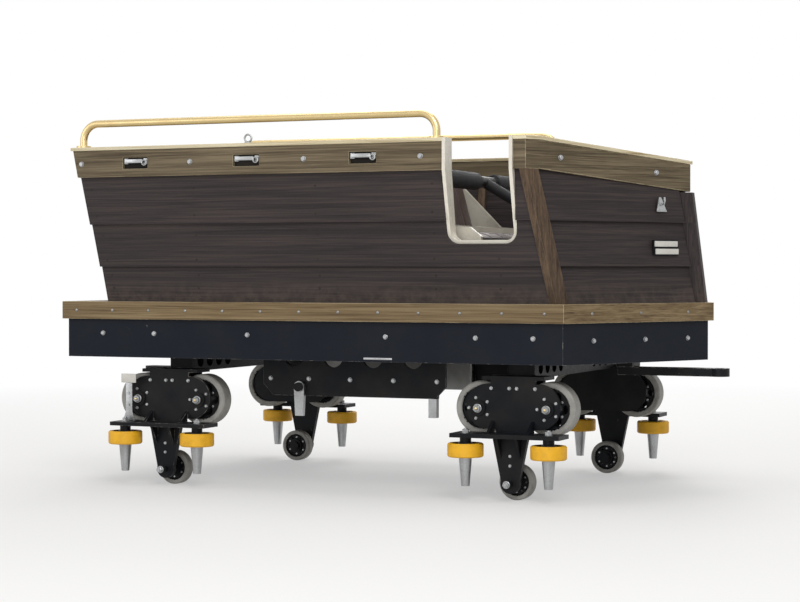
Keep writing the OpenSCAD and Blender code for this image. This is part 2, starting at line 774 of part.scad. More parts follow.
// deep plates that hang under the outriggers, with flanges, ribs and lightening holes
module side_frames() {
  xa = axle_rear + side_frame_in;
  xb = axle_front - side_frame_in;
  y = frame_half + side_frame_out;
  yf = y + web_t - web_flange;
  top = ledge_z - spine_h / 2 - seat_gap;
  cut = 40;
  n = 4;
  step = (xb - xa - 2 * cut - web_t) / n;
  color([0.06, 0.06, 0.08]) for (s = [1, -1]) flip(s) {
    difference() {
      union() {
        along_y(y, y + web_t) polygon([[xa, top], [xb, top], [xb, side_frame_z + cut],
          [xb - cut, side_frame_z], [xa + cut, side_frame_z], [xa, side_frame_z + cut]]);
        translate([xa + cut, yf, side_frame_z]) cube([xb - xa - 2 * cut, web_flange, web_t - 2]);
        translate([xa, yf, top - web_t + 2]) cube([xb - xa, web_flange, web_t - 2]);
        for (i = [0 : n]) translate([xa + cut + i * step, yf + 4, side_frame_z + 5])
          cube([web_t, web_flange - 12, top - side_frame_z - 10]);
      }
      for (i = [0 : n - 1]) along_y(y - 1, y + web_t + 1)
        translate([xa + cut + web_t / 2 + (i + 0.5) * step, (top + side_frame_z) / 2 + 20])
          circle(d = web_hole_d);
    }
    translate([xb - 64, y - 12, side_frame_z - stub_l]) cube([30, 24, stub_l + 4]);
    translate([pawl_x, y + 6, pawl_z]) rotate([-90, 0, 0]) cylinder(d = pawl_pin_d, h = 34);
    translate([pawl_x, y + 33, pawl_z]) rotate([-90, 0, 0]) cylinder(d = pawl_pin_d + 12, h = 8);
  }
}

// the catch that drops behind the lift's teeth, hung on a pin outside the right side frame
module pawl() {
  y = frame_half + side_frame_out;
  w = pawl_pin_d;
  color([0.5, 0.5, 0.48]) translate([pawl_x, 0, pawl_z]) difference() {
    along_y(-y - 31, -y - web_t - 3) union() {
      circle(r = w);
      polygon([[-w, 0], [-w * 0.75, -pawl_l], [w * 0.75, -pawl_l], [w, 0]]);
    }
    along_y(-y - 60, 0) circle(d = pawl_pin_d + 2 * fit);
  }
}

module brake_fin() {
  color([0.5, 0.5, 0.5]) translate([axle_mid - fin_l / 2, -fin_t / 2, frame_z - fin_h])
    cube([fin_l, fin_t, fin_h - seat_gap]);
}

// blocks that hang from the ends of the frame, clear of the turntables
draw_x0 = axle_front + table_r + 50;
jaw_x1 = axle_rear - table_r - 20;

module drawbar() {
  color([0.2, 0.2, 0.22]) difference() {
    union() {
      translate([coupling_x, 0, eye_z - eye_t]) cylinder(r = eye_r, h = eye_t);
      translate([draw_x0, -drawbar_w / 2, eye_z - eye_t]) cube([coupling_x - draw_x0, drawbar_w, eye_t]);
    }
    translate([coupling_x, 0, eye_z - eye_t - 1]) cylinder(d = pin_d, h = eye_t + 2);
  }
  color([0.2, 0.2, 0.22]) translate([draw_x0, -hitch_w / 2, eye_z + seat_gap])
    cube([hitch_l, hitch_w, frame_z - eye_z - 2 * seat_gap]);
}

module coupling_jaw() {
  lower = eye_z - eye_t - jaw_play - jaw_t;
  color([0.2, 0.2, 0.22]) difference() {
    union() {
      for (z = [lower, eye_z + jaw_play]) {
        translate([-coupling_x, 0, z]) cylinder(r = eye_r, h = jaw_t);
        translate([-coupling_x, -eye_r, z]) cube([coupling_x + jaw_x1, 2 * eye_r, jaw_t]);
      }
      translate([jaw_x1 - hitch_l, -hitch_w / 2, lower]) cube([hitch_l, hitch_w, frame_z - seat_gap - lower]);
    }
    translate([-coupling_x, 0, lower - 1]) cylinder(d = pin_d, h = eye_t + 60);
  }
}

// cross beam of one axle with the lower turntable plate and the kingpin
module axle_beam(x) {
  top = frame_z - table_t - 1;
  y = half_gauge - run_w / 2 - wheel_clear - cheek_t - seat_gap;
  z = run_top + saddle_gap;
  h = top - lower_t - z;
  step = (y - table_r - beam_land) / beam_holes;
  color([0.1, 0.1, 0.12]) translate([x, 0, 0]) {
    difference() {
      translate([-beam_w / 2, -y, z]) cube([beam_w, 2 * y, h + e]);
      for (s = [1, -1], i = [0 : beam_holes - 1])
        translate([0, s * (table_r + (i + 0.5) * step), z + h / 2]) rotate([0, 90, 0])
          cylinder(d = h - 2 * beam_land, h = beam_w + 2, center = true);
    }
    translate([0, 0, top - lower_t]) cylinder(r = table_r, h = lower_t);
    translate([0, 0, top - e]) cylinder(d = kingpin_d, h = frame_h);
  }
}

// two plates that hold a pair of running wheels, with the guide shelf and the up-stop arm
module carrier(x, side) {
  yi = half_gauge - run_w / 2 - wheel_clear - cheek_t;
  yo = half_gauge + run_w / 2 + wheel_clear;
  saddle_t = cheek_t;
  top = run_top + saddle_gap + saddle_t;
  beam_top = frame_z - table_t - lower_t - 1;
  shelf_z = rail_z + guide_w / 2 + shelf_gap;
  shelf_y = guide_y + guide_d * 0.27;
  arm_y = half_gauge + rail_d / 2 + 13;
  a = run_gap * 0.375;
  neck = run_gap * 0.66;
  color([0.07, 0.07, 0.09]) translate([x, 0, 0]) flip(side) {
    for (y = [yi, yo]) {
      along_y(y, y + cheek_t) union() {
        translate([-a, run_z + cheek_up - cheek_r]) square([2 * a, 2 * cheek_r]);
        for (s = [1, -1]) translate([s * a, run_z + cheek_up]) circle(r = cheek_r);
      }
      translate([-neck / 2, y, run_z + cheek_r * 0.8]) cube([neck, cheek_t, top - run_z - cheek_r * 0.8]);
    }
    translate([-beam_w / 2, yi, top - e]) cube([beam_w, cheek_t, beam_top - top]);
    translate([-saddle_l / 2, yi, run_top + saddle_gap]) cube([saddle_l, yo - yi + cheek_t, saddle_t]);
    for (s = [1, -1]) {
      translate([s * run_gap / 2, yi, run_z]) rotate([-90, 0, 0])
        cylinder(d = run_axle_d, h = yo - yi + cheek_t + 14);
      translate([s * guide_gap / 2, guide_y, rail_z - guide_w / 2 - 8])
        cylinder(d = small_axle_d, h = guide_w + shelf_gap + 10);
      translate([s * guide_gap / 2, guide_y, rail_z - guide_w / 2 - guide_stub])
        cylinder(r1 = small_axle_d * 0.7, r2 = small_axle_d * 1.1, h = guide_stub - 2);
      translate([s * guide_gap / 2, guide_y, rail_z + guide_w / 2 + 1])
        cylinder(r = small_axle_d * 0.95, h = shelf_gap);
      translate([s * run_gap / 2, yo, run_z]) rotate([-90, 0, 0]) cylinder(r = run_axle_d, h = cheek_t + 7);
      translate([s * 70 - 5, yo + cheek_t - e, shelf_z + shelf_t / 2]) rotate([90, 0, 90])
        linear_extrude(height = 10) polygon([[0, 0], [guide_y - yo - 6, 0], [0, 46]]);
      translate([s * 34 - 4, arm_y + arm_t - e, shelf_z - 70]) rotate([90, 0, 90]) linear_extrude(height = 8)
        polygon([[0, 0], [0, 75], [guide_y - arm_y - 10, 75], [guide_y - arm_y - 10, 66]]);
    }
    translate([-guide_gap / 2 - 45, yo, shelf_z]) cube([guide_gap + 90, shelf_y - yo, shelf_t]);
    translate([-60, yo, shelf_z]) cube([120, cheek_t, 60]);
    along_y(arm_y, arm_y + arm_t) {
      polygon([[-arm_l / 2, shelf_z + 1], [3 - arm_r, stop_z], [arm_r - 3, stop_z], [arm_l / 2, shelf_z + 1]]);
      translate([0, stop_z]) circle(r = arm_r);
    }
    translate([0, half_gauge - stop_w / 2 - 4, stop_z]) rotate([-90, 0, 0])
      cylinder(d = small_axle_d, h = arm_y - half_gauge + stop_w / 2 + 4 + arm_t + 14);
    translate([0, half_gauge - stop_w / 2 - 12, stop_z]) rotate([-90, 0, 0])
      cylinder(r = small_axle_d * 0.8, h = 10);
  }
}

// a tyred wheel standing on the Z axis, middle at z = 0
module wheel(d, w, bore, tyre) {
  r = d / 2;
  hw = w / 2;
  // the web runs from the hub to the rim, with a ring of holes in it
  hub = bore / 2 + 16;
  rim = r - tyre - 6;
  difference() {
    rotate_extrude() polygon([[bore / 2, -hw], [hub - 2, -hw], [hub, -hw + web_in], [rim, -hw + web_in],
      [r - tyre, -hw + 1], [r - 4, -hw + 1], [r, -hw + 5], [r, hw - 5], [r - 4, hw - 1],
      [r - tyre, hw - 1], [rim, hw - web_in], [hub, hw - web_in], [hub - 2, hw], [bore / 2, hw]]);
    for (i = [0 : web_holes - 1]) rotate(i * 360 / web_holes) translate([(hub + rim) / 2, 0, -hw])
      cylinder(d = rim - hub - 2 * web_land, h = w);
  }
}

module run_wheel(x, side, s) {
  color([0.6, 0.6, 0.58]) translate([x + s * run_gap / 2, side * half_gauge, run_z]) rotate([90, 0, 0])
    wheel(run_d, run_w, run_axle_d + 2 * fit, 18);
}

module guide_wheel(x, side, s) {
  color([0.92, 0.7, 0.12]) translate([x + s * guide_gap / 2, side * guide_y, rail_z])
    wheel(guide_d, guide_w, small_axle_d + 2 * fit, 14);
}

module stop_wheel(x, side) {
  color([0.6, 0.6, 0.58]) translate([x, side * half_gauge, stop_z]) rotate([90, 0, 0])
    wheel(stop_d, stop_w, small_axle_d + 2 * fit, 14);
}

floor_pan();
ledge();
skirt();
side_panel(1);  // side_left
side_panel(-1);  // side_right
stern_panel();
nose_panels();
corner_posts();
gunwale_sides();
gunwale_ends();
gunwale_caps();
entry_rims();
handrails();
seat(seat_x);  // seat_front
seat(seat_x - row_pitch);  // seat_rear
cushions(seat_x);  // cushions_front
cushions(seat_x - row_pitch);  // cushions_rear
lap_bar(seat_x);  // lap_bar_front
lap_bar(seat_x - row_pitch);  // lap_bar_rear
bar_brackets();
frame_rails();
frame_cross();
frame_struts();
side_frames();
brake_fin();
pawl();
drawbar();
coupling_jaw();
axle_beam(axle_front);  // axle_beam_front
axle_beam(axle_rear);  // axle_beam_rear
carrier(axle_front, 1);  // carrier_fl
carrier(axle_front, -1);  // carrier_fr
carrier(axle_rear, 1);  // carrier_rl
carrier(axle_rear, -1);  // carrier_rr
run_wheel(axle_front, 1, 1);  // run_fl_a
run_wheel(axle_front, 1, -1);  // run_fl_b
run_wheel(axle_front, -1, 1);  // run_fr_a
run_wheel(axle_front, -1, -1);  // run_fr_b
run_wheel(axle_rear, 1, 1);  // run_rl_a
run_wheel(axle_rear, 1, -1);  // run_rl_b
run_wheel(axle_rear, -1, 1);  // run_rr_a
run_wheel(axle_rear, -1, -1);  // run_rr_b
guide_wheel(axle_front, 1, 1);  // guide_fl_a
guide_wheel(axle_front, 1, -1);  // guide_fl_b
guide_wheel(axle_front, -1, 1);  // guide_fr_a
guide_wheel(axle_front, -1, -1);  // guide_fr_b
guide_wheel(axle_rear, 1, 1);  // guide_rl_a
guide_wheel(axle_rear, 1, -1);  // guide_rl_b
guide_wheel(axle_rear, -1, 1);  // guide_rr_a
guide_wheel(axle_rear, -1, -1);  // guide_rr_b
stop_wheel(axle_front, 1);  // stop_fl
stop_wheel(axle_front, -1);  // stop_fr
stop_wheel(axle_rear, 1);  // stop_rl
stop_wheel(axle_rear, -1);  // stop_rr
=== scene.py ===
"""Finish of the family coaster car: boards, upholstery, wheels, fixings, floor, light and camera."""

import json
import logging
import math
import random
from dataclasses import dataclass
from enum import Enum

import bmesh
import bpy
import numpy as np
from mathutils import Matrix, Vector
from mathutils.bvhtree import BVHTree


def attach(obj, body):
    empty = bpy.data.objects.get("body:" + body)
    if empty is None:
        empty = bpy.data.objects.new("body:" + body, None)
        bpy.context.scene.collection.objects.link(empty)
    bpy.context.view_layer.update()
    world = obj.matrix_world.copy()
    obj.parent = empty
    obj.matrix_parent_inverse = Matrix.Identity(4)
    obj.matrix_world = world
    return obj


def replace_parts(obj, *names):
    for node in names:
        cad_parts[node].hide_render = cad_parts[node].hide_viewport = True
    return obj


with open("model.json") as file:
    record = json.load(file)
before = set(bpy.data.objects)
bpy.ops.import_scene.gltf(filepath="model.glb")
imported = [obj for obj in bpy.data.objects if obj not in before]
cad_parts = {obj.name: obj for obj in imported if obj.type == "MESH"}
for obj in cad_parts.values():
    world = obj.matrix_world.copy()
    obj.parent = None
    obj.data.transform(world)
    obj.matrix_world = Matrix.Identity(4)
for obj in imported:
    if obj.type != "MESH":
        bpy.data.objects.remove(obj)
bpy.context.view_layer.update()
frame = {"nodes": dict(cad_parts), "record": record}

LOG = logging.getLogger("coaster_car")
MM = 0.001
SIDES = (1, -1)
UP = (0.0, 0.0, 1.0)
ASTERN = (-1.0, 0.0, 0.0)
Colour = tuple[float, float, float, float]
Pair = tuple[float, float]
Point = tuple[float, float, float]


def srgb(red: int, green: int, blue: int) -> Colour:
    """Turns a colour written from 0 to 255 into the linear values a shader takes.

    Args:
        red: Red, from 0 to 255.
        green: Green, from 0 to 255.
        blue: Blue, from 0 to 255.

    Returns:
        Linear red, green and blue, and an alpha of 1.
    """
    linear = [
        c / 12.92 if c <= 0.04045 else ((c + 0.055) / 1.055) ** 2.4
        for c in (red / 255, green / 255, blue / 255)
    ]
    return (linear[0], linear[1], linear[2], 1.0)


# finishes


class NodeSheet:
    """Node tree of one material, with short calls for the nodes that the finishes use."""

    def __init__(self, name: str) -> None:
        """Makes the material and finds its shader.

        Args:
            name: Name of the material.
        """
        self.material = bpy.data.materials.new(name)
        self.material.use_nodes = True
        self.nodes = self.material.node_tree.nodes
        self.links = self.material.node_tree.links
        self.shader = next(n for n in self.nodes if n.type == "BSDF_PRINCIPLED")
        self.place = self.nodes.new("ShaderNodeTexCoord").outputs["Object"]

    def feed(self, socket: bpy.types.NodeSocket, value: object) -> None:
        """Links a socket to another, or sets its value.

        Args:
            socket: The input to feed.
            value: An output socket, or a plain value.
        """
        if isinstance(value, bpy.types.NodeSocket):
            self.links.new(value, socket)
        else:
            socket.default_value = value

    def mapped(self, scale: Point, turn: float = 0.0, source: object = None) -> bpy.types.NodeSocket:
        """Stretches the object's coordinates for a pattern.

        Args:
            scale: Repeats per metre along the turned axes.
            turn: Turn about Z in degrees, before the scale.
            source: Coordinates to start from, the object's own if left out.

        Returns:
            The mapped coordinates.
        """
        turned = self.nodes.new("ShaderNodeMapping")
        self.feed(turned.inputs["Vector"], source or self.place)
        turned.inputs["Rotation"].default_value = (0.0, 0.0, math.radians(turn))
        scaled = self.nodes.new("ShaderNodeMapping")
        self.feed(scaled.inputs["Vector"], turned.outputs["Vector"])
        scaled.inputs["Scale"].default_value = scale
        return scaled.outputs["Vector"]

    def folded(self) -> bpy.types.NodeSocket:
        """Coordinates with both sides of the car folded onto the left one."""
        split = self.split()
        joined = self.nodes.new("ShaderNodeCombineXYZ")
        self.feed(joined.inputs["X"], split.outputs["X"])
        self.feed(joined.inputs["Y"], self.calc("ABSOLUTE", split.outputs["Y"]))
        self.feed(joined.inputs["Z"], split.outputs["Z"])
        return joined.outputs["Vector"]

    def split(self) -> bpy.types.Node:
        """A node that splits the object's coordinates."""
        node = self.nodes.new("ShaderNodeSeparateXYZ")
        self.feed(node.inputs["Vector"], self.place)
        return node

    def height(self) -> bpy.types.NodeSocket:
        """The Z coordinate of the object."""
        return self.split().outputs["Z"]

    def noise(self, vector: object, scale: float, detail: float = 3.0, rough: float = 0.5,
              bend: float = 0.0) -> bpy.types.NodeSocket:
        """Adds a noise texture.

        Args:
            vector: Coordinates of the pattern.
            scale: Size of the pattern.
            detail: Number of finer layers.
            rough: Strength of the finer layers.
            bend: Distortion of the pattern.

        Returns:
            The noise, from about 0.3 to 0.7.
        """
        node = self.nodes.new("ShaderNodeTexNoise")
        self.feed(node.inputs["Vector"], vector)
        for key, value in (("Scale", scale), ("Detail", detail), ("Roughness", rough), ("Distortion", bend)):
            node.inputs[key].default_value = value
        return node.outputs["Fac"]

    def cells(self, vector: object, scale: float, feature: str = "F1") -> bpy.types.NodeSocket:
        """Adds a Voronoi texture.

        Args:
            vector: Coordinates of the pattern.
            scale: Number of cells per unit.
            feature: F1 for spots, DISTANCE_TO_EDGE for cracks.

        Returns:
            The distance in each cell.
        """
        node = self.nodes.new("ShaderNodeTexVoronoi")
        node.feature = feature
        self.feed(node.inputs["Vector"], vector)
        node.inputs["Scale"].default_value = scale
        return node.outputs["Distance"]

    def ramp(self, value: object, stops: list[tuple[float, Colour]],
             steps: bool = False) -> bpy.types.NodeSocket:
        """Turns a value into a colour.

        Args:
            value: The value to look up.
            stops: Places from 0 to 1 and their colours, in order.
            steps: True for flat steps in place of a smooth run.

        Returns:
            The colour.
        """
        node = self.nodes.new("ShaderNodeValToRGB")
        band = node.color_ramp
        band.interpolation = "CONSTANT" if steps else "LINEAR"
        while len(band.elements) < len(stops):
            band.elements.new(0.5)
        for element, (place, colour) in zip(band.elements, stops):
            element.position = place
            element.color = colour
        self.feed(node.inputs["Fac"], value)
        return node.outputs["Color"]

    def band(self, value: object, low: float, high: float, start: float = 0.0,
             end: float = 1.0) -> bpy.types.NodeSocket:
        """Maps a range of a value onto another, and holds it at the ends.

        Args:
            value: The value to map.
            low: Value that gives start.
            high: Value that gives end.
            start: Result at low.
            end: Result at high.

        Returns:
            The mapped value.
        """
        node = self.nodes.new("ShaderNodeMapRange")
        self.feed(node.inputs["Value"], value)
        for key, number in (("From Min", low), ("From Max", high), ("To Min", start), ("To Max", end)):
            node.inputs[key].default_value = number
        return node.outputs["Result"]

    def mix(self, share: object, under: object, over: object, way: str = "MIX") -> bpy.types.NodeSocket:
        """Mixes two colours.

        Args:
            share: Share of the second colour.
            under: The first colour.
            over: The second colour.
            way: Blend type.

        Returns:
            The mixed colour.
        """
        node = self.nodes.new("ShaderNodeMix")
        node.data_type = "RGBA"
        node.blend_type = way
        self.feed(node.inputs["Factor"], share)
        # sockets 6 and 7 and output 2 are the colour ones of this node
        self.feed(node.inputs[6], under)
        self.feed(node.inputs[7], over)
        return node.outputs[2]

    def calc(self, operation: str, first: object, second: object = 0.0) -> bpy.types.NodeSocket:
        """Adds a math node.

        Args:
            operation: Blender's name of the operation.
            first: First value.
            second: Second value, if the operation takes one.

        Returns:
            The result.
        """
        node = self.nodes.new("ShaderNodeMath")
        node.operation = operation
        self.feed(node.inputs[0], first)
        self.feed(node.inputs[1], second)
        return node.outputs["Value"]

    def bump(self, height: object, depth: float, under: object = None) -> bpy.types.NodeSocket:
        """Raises the surface by a height.

        Args:
            height: Height from 0 to 1.
            depth: Depth of the relief in metres.
            under: A normal to build on.

        Returns:
            The bumped normal.
        """
        node = self.nodes.new("ShaderNodeBump")
        node.inputs["Distance"].default_value = depth
        self.feed(node.inputs["Height"], height)
        if under is not None:
            self.feed(node.inputs["Normal"], under)
        return node.outputs["Normal"]

    def done(self, **sockets: object) -> bpy.types.Material:
        """Feeds the shader and returns the material.

        Args:
            **sockets: Values by the shader's socket names, with _ for a space.

        Returns:
            The finished material.
        """
        for key, value in sockets.items():
            self.feed(self.shader.inputs[key.replace("_", " ")], value)
        return self.material


@dataclass(frozen=True)
class Finish:
    """A surface finish, made once and shared by the pieces that wear it."""

    name: str
    colour: Colour

    def material(self) -> bpy.types.Material:
        """Returns this finish's material, and makes it at the first call."""
        return bpy.data.materials.get(self.name) or self.make()

    def make(self) -> bpy.types.Material:
        """Makes the material. Each kind of finish has its own way."""
        raise NotImplementedError


class Lay(Enum):
    """The way that a board's fibres run."""

    ALONG = "along"
    ACROSS = "across"
    BOW = "bow"
    UPRIGHT = "upright"


# turn about Z, in degrees, that brings each way onto X, or leaves an upright board as it is
LAY_TURN = {Lay.ALONG: 0.0, Lay.ACROSS: 90.0, Lay.BOW: -120.0, Lay.UPRIGHT: 0.0}
DUST = srgb(112, 98, 84)


@dataclass(frozen=True)
class StainedBoard(Finish):
    """Stained board with long fibres, growth rings, rubbed spots and dust low down."""

    dark: Colour
    light: Colour
    lay: Lay = Lay.ALONG
    gloss: float = 0.5
    courses: tuple[float, ...] = ()
    wear: float = 0.0
    dust_from: float = 0.0
    dust_height: float = 0.075
    relief: float = 0.7 * MM

    def make(self) -> bpy.types.Material:
        """Makes the board's material."""
        sheet = NodeSheet(self.name)
        start = sheet.folded() if self.lay is Lay.BOW else sheet.place
        if self.courses:
            start = self.slid(sheet, start)
        fine = self.fibres(sheet, start, slow=5.0, quick=430.0, detail=6.0, bend=0.3)
        rings = self.fibres(sheet, start, slow=1.3, quick=84.0, detail=5.0, bend=0.7)
        broad = self.fibres(sheet, start, slow=0.8, quick=5.0, detail=2.0, bend=0.4)
        grain = sheet.calc("ADD", sheet.calc("MULTIPLY", fine, 0.45), sheet.calc("MULTIPLY", rings, 0.55))
        colour = sheet.ramp(grain, [(0.38, self.dark), (0.49, self.colour), (0.60, self.light)])
        colour = sheet.mix(sheet.band(broad, 0.38, 0.66, 0.0, 0.30), colour, self.dark)
        scuffs = self.fibres(sheet, start, slow=10.0, quick=46.0, detail=7.0, bend=0.0)
        worn = sheet.band(scuffs, 0.62 - 0.2 * self.wear, 0.72 - 0.12 * self.wear)
        colour = sheet.mix(sheet.calc("MULTIPLY", worn, 0.2 + 0.6 * self.wear), colour, self.light)
        rough = sheet.band(fine, 0.3, 0.7, self.gloss - 0.06, self.gloss + 0.14)
        if self.dust_from:
            low = sheet.band(sheet.height(), self.dust_from, self.dust_from + self.dust_height, 1.0, 0.0)
            patches = sheet.band(sheet.noise(sheet.place, 26.0, 5.0, 0.65), 0.4, 0.62, 0.06, 0.32)
            colour = sheet.mix(sheet.calc("MULTIPLY", low, patches), colour, DUST)
        return sheet.done(Base_Color=colour, Roughness=rough, Specular_IOR_Level=0.18,
                          Normal=sheet.bump(grain, self.relief))

    def fibres(self, sheet: NodeSheet, start: object, slow: float, quick: float, detail: float,
               bend: float) -> bpy.types.NodeSocket:
        """Noise drawn out along the board.

        Args:
            sheet: The material's sheet.
            start: Coordinates to draw on.
            slow: Repeats per metre along the fibres.
            quick: Repeats per metre across them.
            detail: Number of finer layers.
            bend: Distortion.

        Returns:
            The noise.
        """
        scale = (quick, quick, slow) if self.lay is Lay.UPRIGHT else (slow, quick, quick)
        return sheet.noise(sheet.mapped(scale, LAY_TURN[self.lay], start), 1.0, detail, 0.6, bend)

    def slid(self, sheet: NodeSheet, start: object) -> bpy.types.NodeSocket:
        """Slides each course along, so that no fibre runs on from one plank to the next.

        Args:
            sheet: The material's sheet.
            start: Coordinates to slide.

        Returns:
            The coordinates, moved a step further in each course.
        """
        steps = [(0.0, (0.0, 0.0, 0.0, 1.0))]
        for i, edge in enumerate(self.courses):
            steps.append((edge, (0.31 * (i + 1), 0.17 * (i + 1), 0.0, 1.0)))
        slide = sheet.ramp(sheet.height(), steps, steps=True)
        moved = sheet.nodes.new("ShaderNodeVectorMath")
        moved.operation = "MULTIPLY_ADD"
        sheet.feed(moved.inputs[0], slide)
        moved.inputs[1].default_value = (11.0, 11.0, 0.0)
        sheet.feed(moved.inputs[2], start)
        return moved.outputs["Vector"]


@dataclass(frozen=True)
class Timber:
    """One kind of board, with a finish for each way that its fibres run and one for its edges."""

    name: str
    colour: Colour
    dark: Colour
    light: Colour
    edge_colour: Colour
    edge_light: Colour
    gloss: float = 0.5
    courses: tuple[float, ...] = ()
    dust_from: float = 0.0
    edge_wear: float = 0.5

    def finishes(self) -> list[Finish]:
        """The finishes by the number of each way in Lay, and last the edges'."""
        ways = [
            StainedBoard(f"{self.name}_{lay.value}", self.colour, self.dark, self.light, lay, self.gloss,
                         self.courses, 0.0, self.dust_from)
            for lay in Lay
        ]
        return ways + [StainedBoard(self.name + "_edge", self.edge_colour, self.colour, self.edge_light,
                                    wear=self.edge_wear, gloss=self.gloss)]

    def laid(self, lay: Lay) -> Finish:
        """The finish of one way."""
        return self.finishes()[list(Lay).index(lay)]


@dataclass(frozen=True)
class PaintedMetal(Finish):
    """Sprayed steel with dust, fine orange peel and, where rubbed, chips down to the metal."""

    under: Colour = srgb(120, 116, 110)
    chips: float = 0.0
    gloss: float = 0.42
    dust: Colour = srgb(74, 68, 60)
    dusty: float = 0.22

    def make(self) -> bpy.types.Material:
        """Makes the painted metal's material."""
        sheet = NodeSheet(self.name)
        broad = sheet.noise(sheet.place, 5.0, 4.0, 0.6)
        fine = sheet.noise(sheet.place, 130.0, 5.0, 0.65)
        peel = sheet.noise(sheet.place, 420.0, 2.0)
        colour = sheet.mix(sheet.band(broad, 0.42, 0.7, 0.0, self.dusty), self.colour, self.dust)
        rubbed = sheet.noise(sheet.place, 38.0, 8.0, 0.72)
        edge = 0.70 - 0.26 * self.chips
        chip = sheet.band(rubbed, edge, edge + 0.02)
        colour = sheet.mix(chip, colour, self.under)
        rough = sheet.calc("ADD", sheet.band(fine, 0.3, 0.7, self.gloss - 0.07, self.gloss + 0.1),
                           sheet.calc("MULTIPLY", chip, 0.12))
        normal = sheet.bump(sheet.calc("SUBTRACT", 1.0, chip), 0.12 * MM, sheet.bump(peel, 0.05 * MM))
        return sheet.done(Base_Color=colour, Roughness=rough, Normal=normal, Specular_IOR_Level=0.12)


@dataclass(frozen=True)
class BareMetal(Finish):
    """Bare metal with smudges and either fine scratches or the spangle of zinc."""

    gloss: float = 0.3
    spangle: float = 0.0
    tarnish: Colour = srgb(90, 84, 74)
    tarnished: float = 0.3
    patch: float = 14.0

    def make(self) -> bpy.types.Material:
        """Makes the metal's material."""
        sheet = NodeSheet(self.name)
        broad = sheet.noise(sheet.place, self.patch, 4.0, 0.55)
        fine = sheet.noise(sheet.mapped((40.0, 400.0, 400.0)), 1.0, 3.0, 0.6)
        colour = sheet.mix(sheet.band(broad, 0.45, 0.75, 0.0, self.tarnished), self.colour, self.tarnish)
        rough = sheet.calc("ADD", sheet.band(broad, 0.3, 0.7, self.gloss - 0.08, self.gloss + 0.12),
                           sheet.band(fine, 0.4, 0.6, -0.03, 0.05))
        if self.spangle:
            flakes = sheet.cells(sheet.place, 260.0)
            colour = sheet.mix(sheet.band(flakes, 0.0, 0.9, 0.0, self.spangle), colour, self.tarnish)
        return sheet.done(Base_Color=colour, Metallic=1.0, Roughness=rough,
                          Normal=sheet.bump(fine, 0.03 * MM))


@dataclass(frozen=True)
class CastTread(Finish):
    """Cast urethane or foam, slightly cloudy, with rolled in dirt."""

    dirt: Colour = srgb(70, 66, 60)
    dirty: float = 0.35
    gloss: float = 0.5
    pores: float = 0.0

    def make(self) -> bpy.types.Material:
        """Makes the tread's material."""
        sheet = NodeSheet(self.name)
        cloud = sheet.noise(sheet.place, 30.0, 4.0, 0.6)
        specks = sheet.noise(sheet.place, 210.0, 6.0, 0.7)
        colour = sheet.mix(sheet.band(cloud, 0.42, 0.72, 0.0, self.dirty), self.colour, self.dirt)
        colour = sheet.mix(sheet.band(specks, 0.6, 0.7, 0.0, self.dirty), colour, self.dirt)
        relief = sheet.noise(sheet.place, 900.0, 2.0) if self.pores else specks
        rough = sheet.band(specks, 0.35, 0.65, self.gloss - 0.1, self.gloss + 0.15)
        return sheet.done(Base_Color=colour, Roughness=rough,
                          Normal=sheet.bump(relief, (0.1 + 0.4 * self.pores) * MM))


@dataclass(frozen=True)
class Moulding(Finish):
    """Gel coat on a laminate: smooth, faintly wavy, with scuffs and patches of grey film."""

    film: Colour = srgb(120, 112, 98)
    gloss: float = 0.24

    def make(self) -> bpy.types.Material:
        """Makes the gel coat's material."""
        sheet = NodeSheet(self.name)
        wave = sheet.noise(sheet.place, 22.0, 3.0, 0.45)
        scuffs = sheet.noise(sheet.mapped((30.0, 120.0, 60.0)), 1.0, 8.0, 0.7)
        colour = sheet.mix(sheet.band(wave, 0.4, 0.75, 0.0, 0.3), self.colour, self.film)
        colour = sheet.mix(sheet.band(scuffs, 0.64, 0.7, 0.0, 0.4), colour, self.film)
        rough = sheet.band(scuffs, 0.4, 0.7, self.gloss, self.gloss + 0.3)
        return sheet.done(Base_Color=colour, Roughness=rough, Coat_Weight=0.25, Coat_Roughness=0.12,
                          Normal=sheet.bump(wave, 0.6 * MM))


@dataclass(frozen=True)
class GrainedVinyl(Finish):
    """Upholstery vinyl with pebbled grain, creases, and random lighter patches of painted sheen that are also
    glossier.
    """

    painted_sheen: Colour = srgb(92, 72, 62)

    def make(self) -> bpy.types.Material:
        """Makes the vinyl's material."""
        sheet = NodeSheet(self.name)
        pebbles = sheet.cells(sheet.place, 620.0)
        creases = sheet.cells(sheet.mapped((26.0, 34.0, 34.0)), 1.0, "DISTANCE_TO_EDGE")
        broad = sheet.noise(sheet.place, 7.0, 3.0, 0.55)
        # painted sheen: a lighter colour in random patches, where the roughness is also lower
        colour = sheet.mix(sheet.band(broad, 0.42, 0.7, 0.0, 0.55), self.colour, self.painted_sheen)
        rough = sheet.band(broad, 0.35, 0.7, 0.52, 0.36)
        normal = sheet.bump(sheet.band(creases, 0.0, 0.06), 0.25 * MM, sheet.bump(pebbles, 0.16 * MM))
        return sheet.done(Base_Color=colour, Roughness=rough, Normal=normal, Sheen_Weight=0.08,
                          Specular_IOR_Level=0.45)


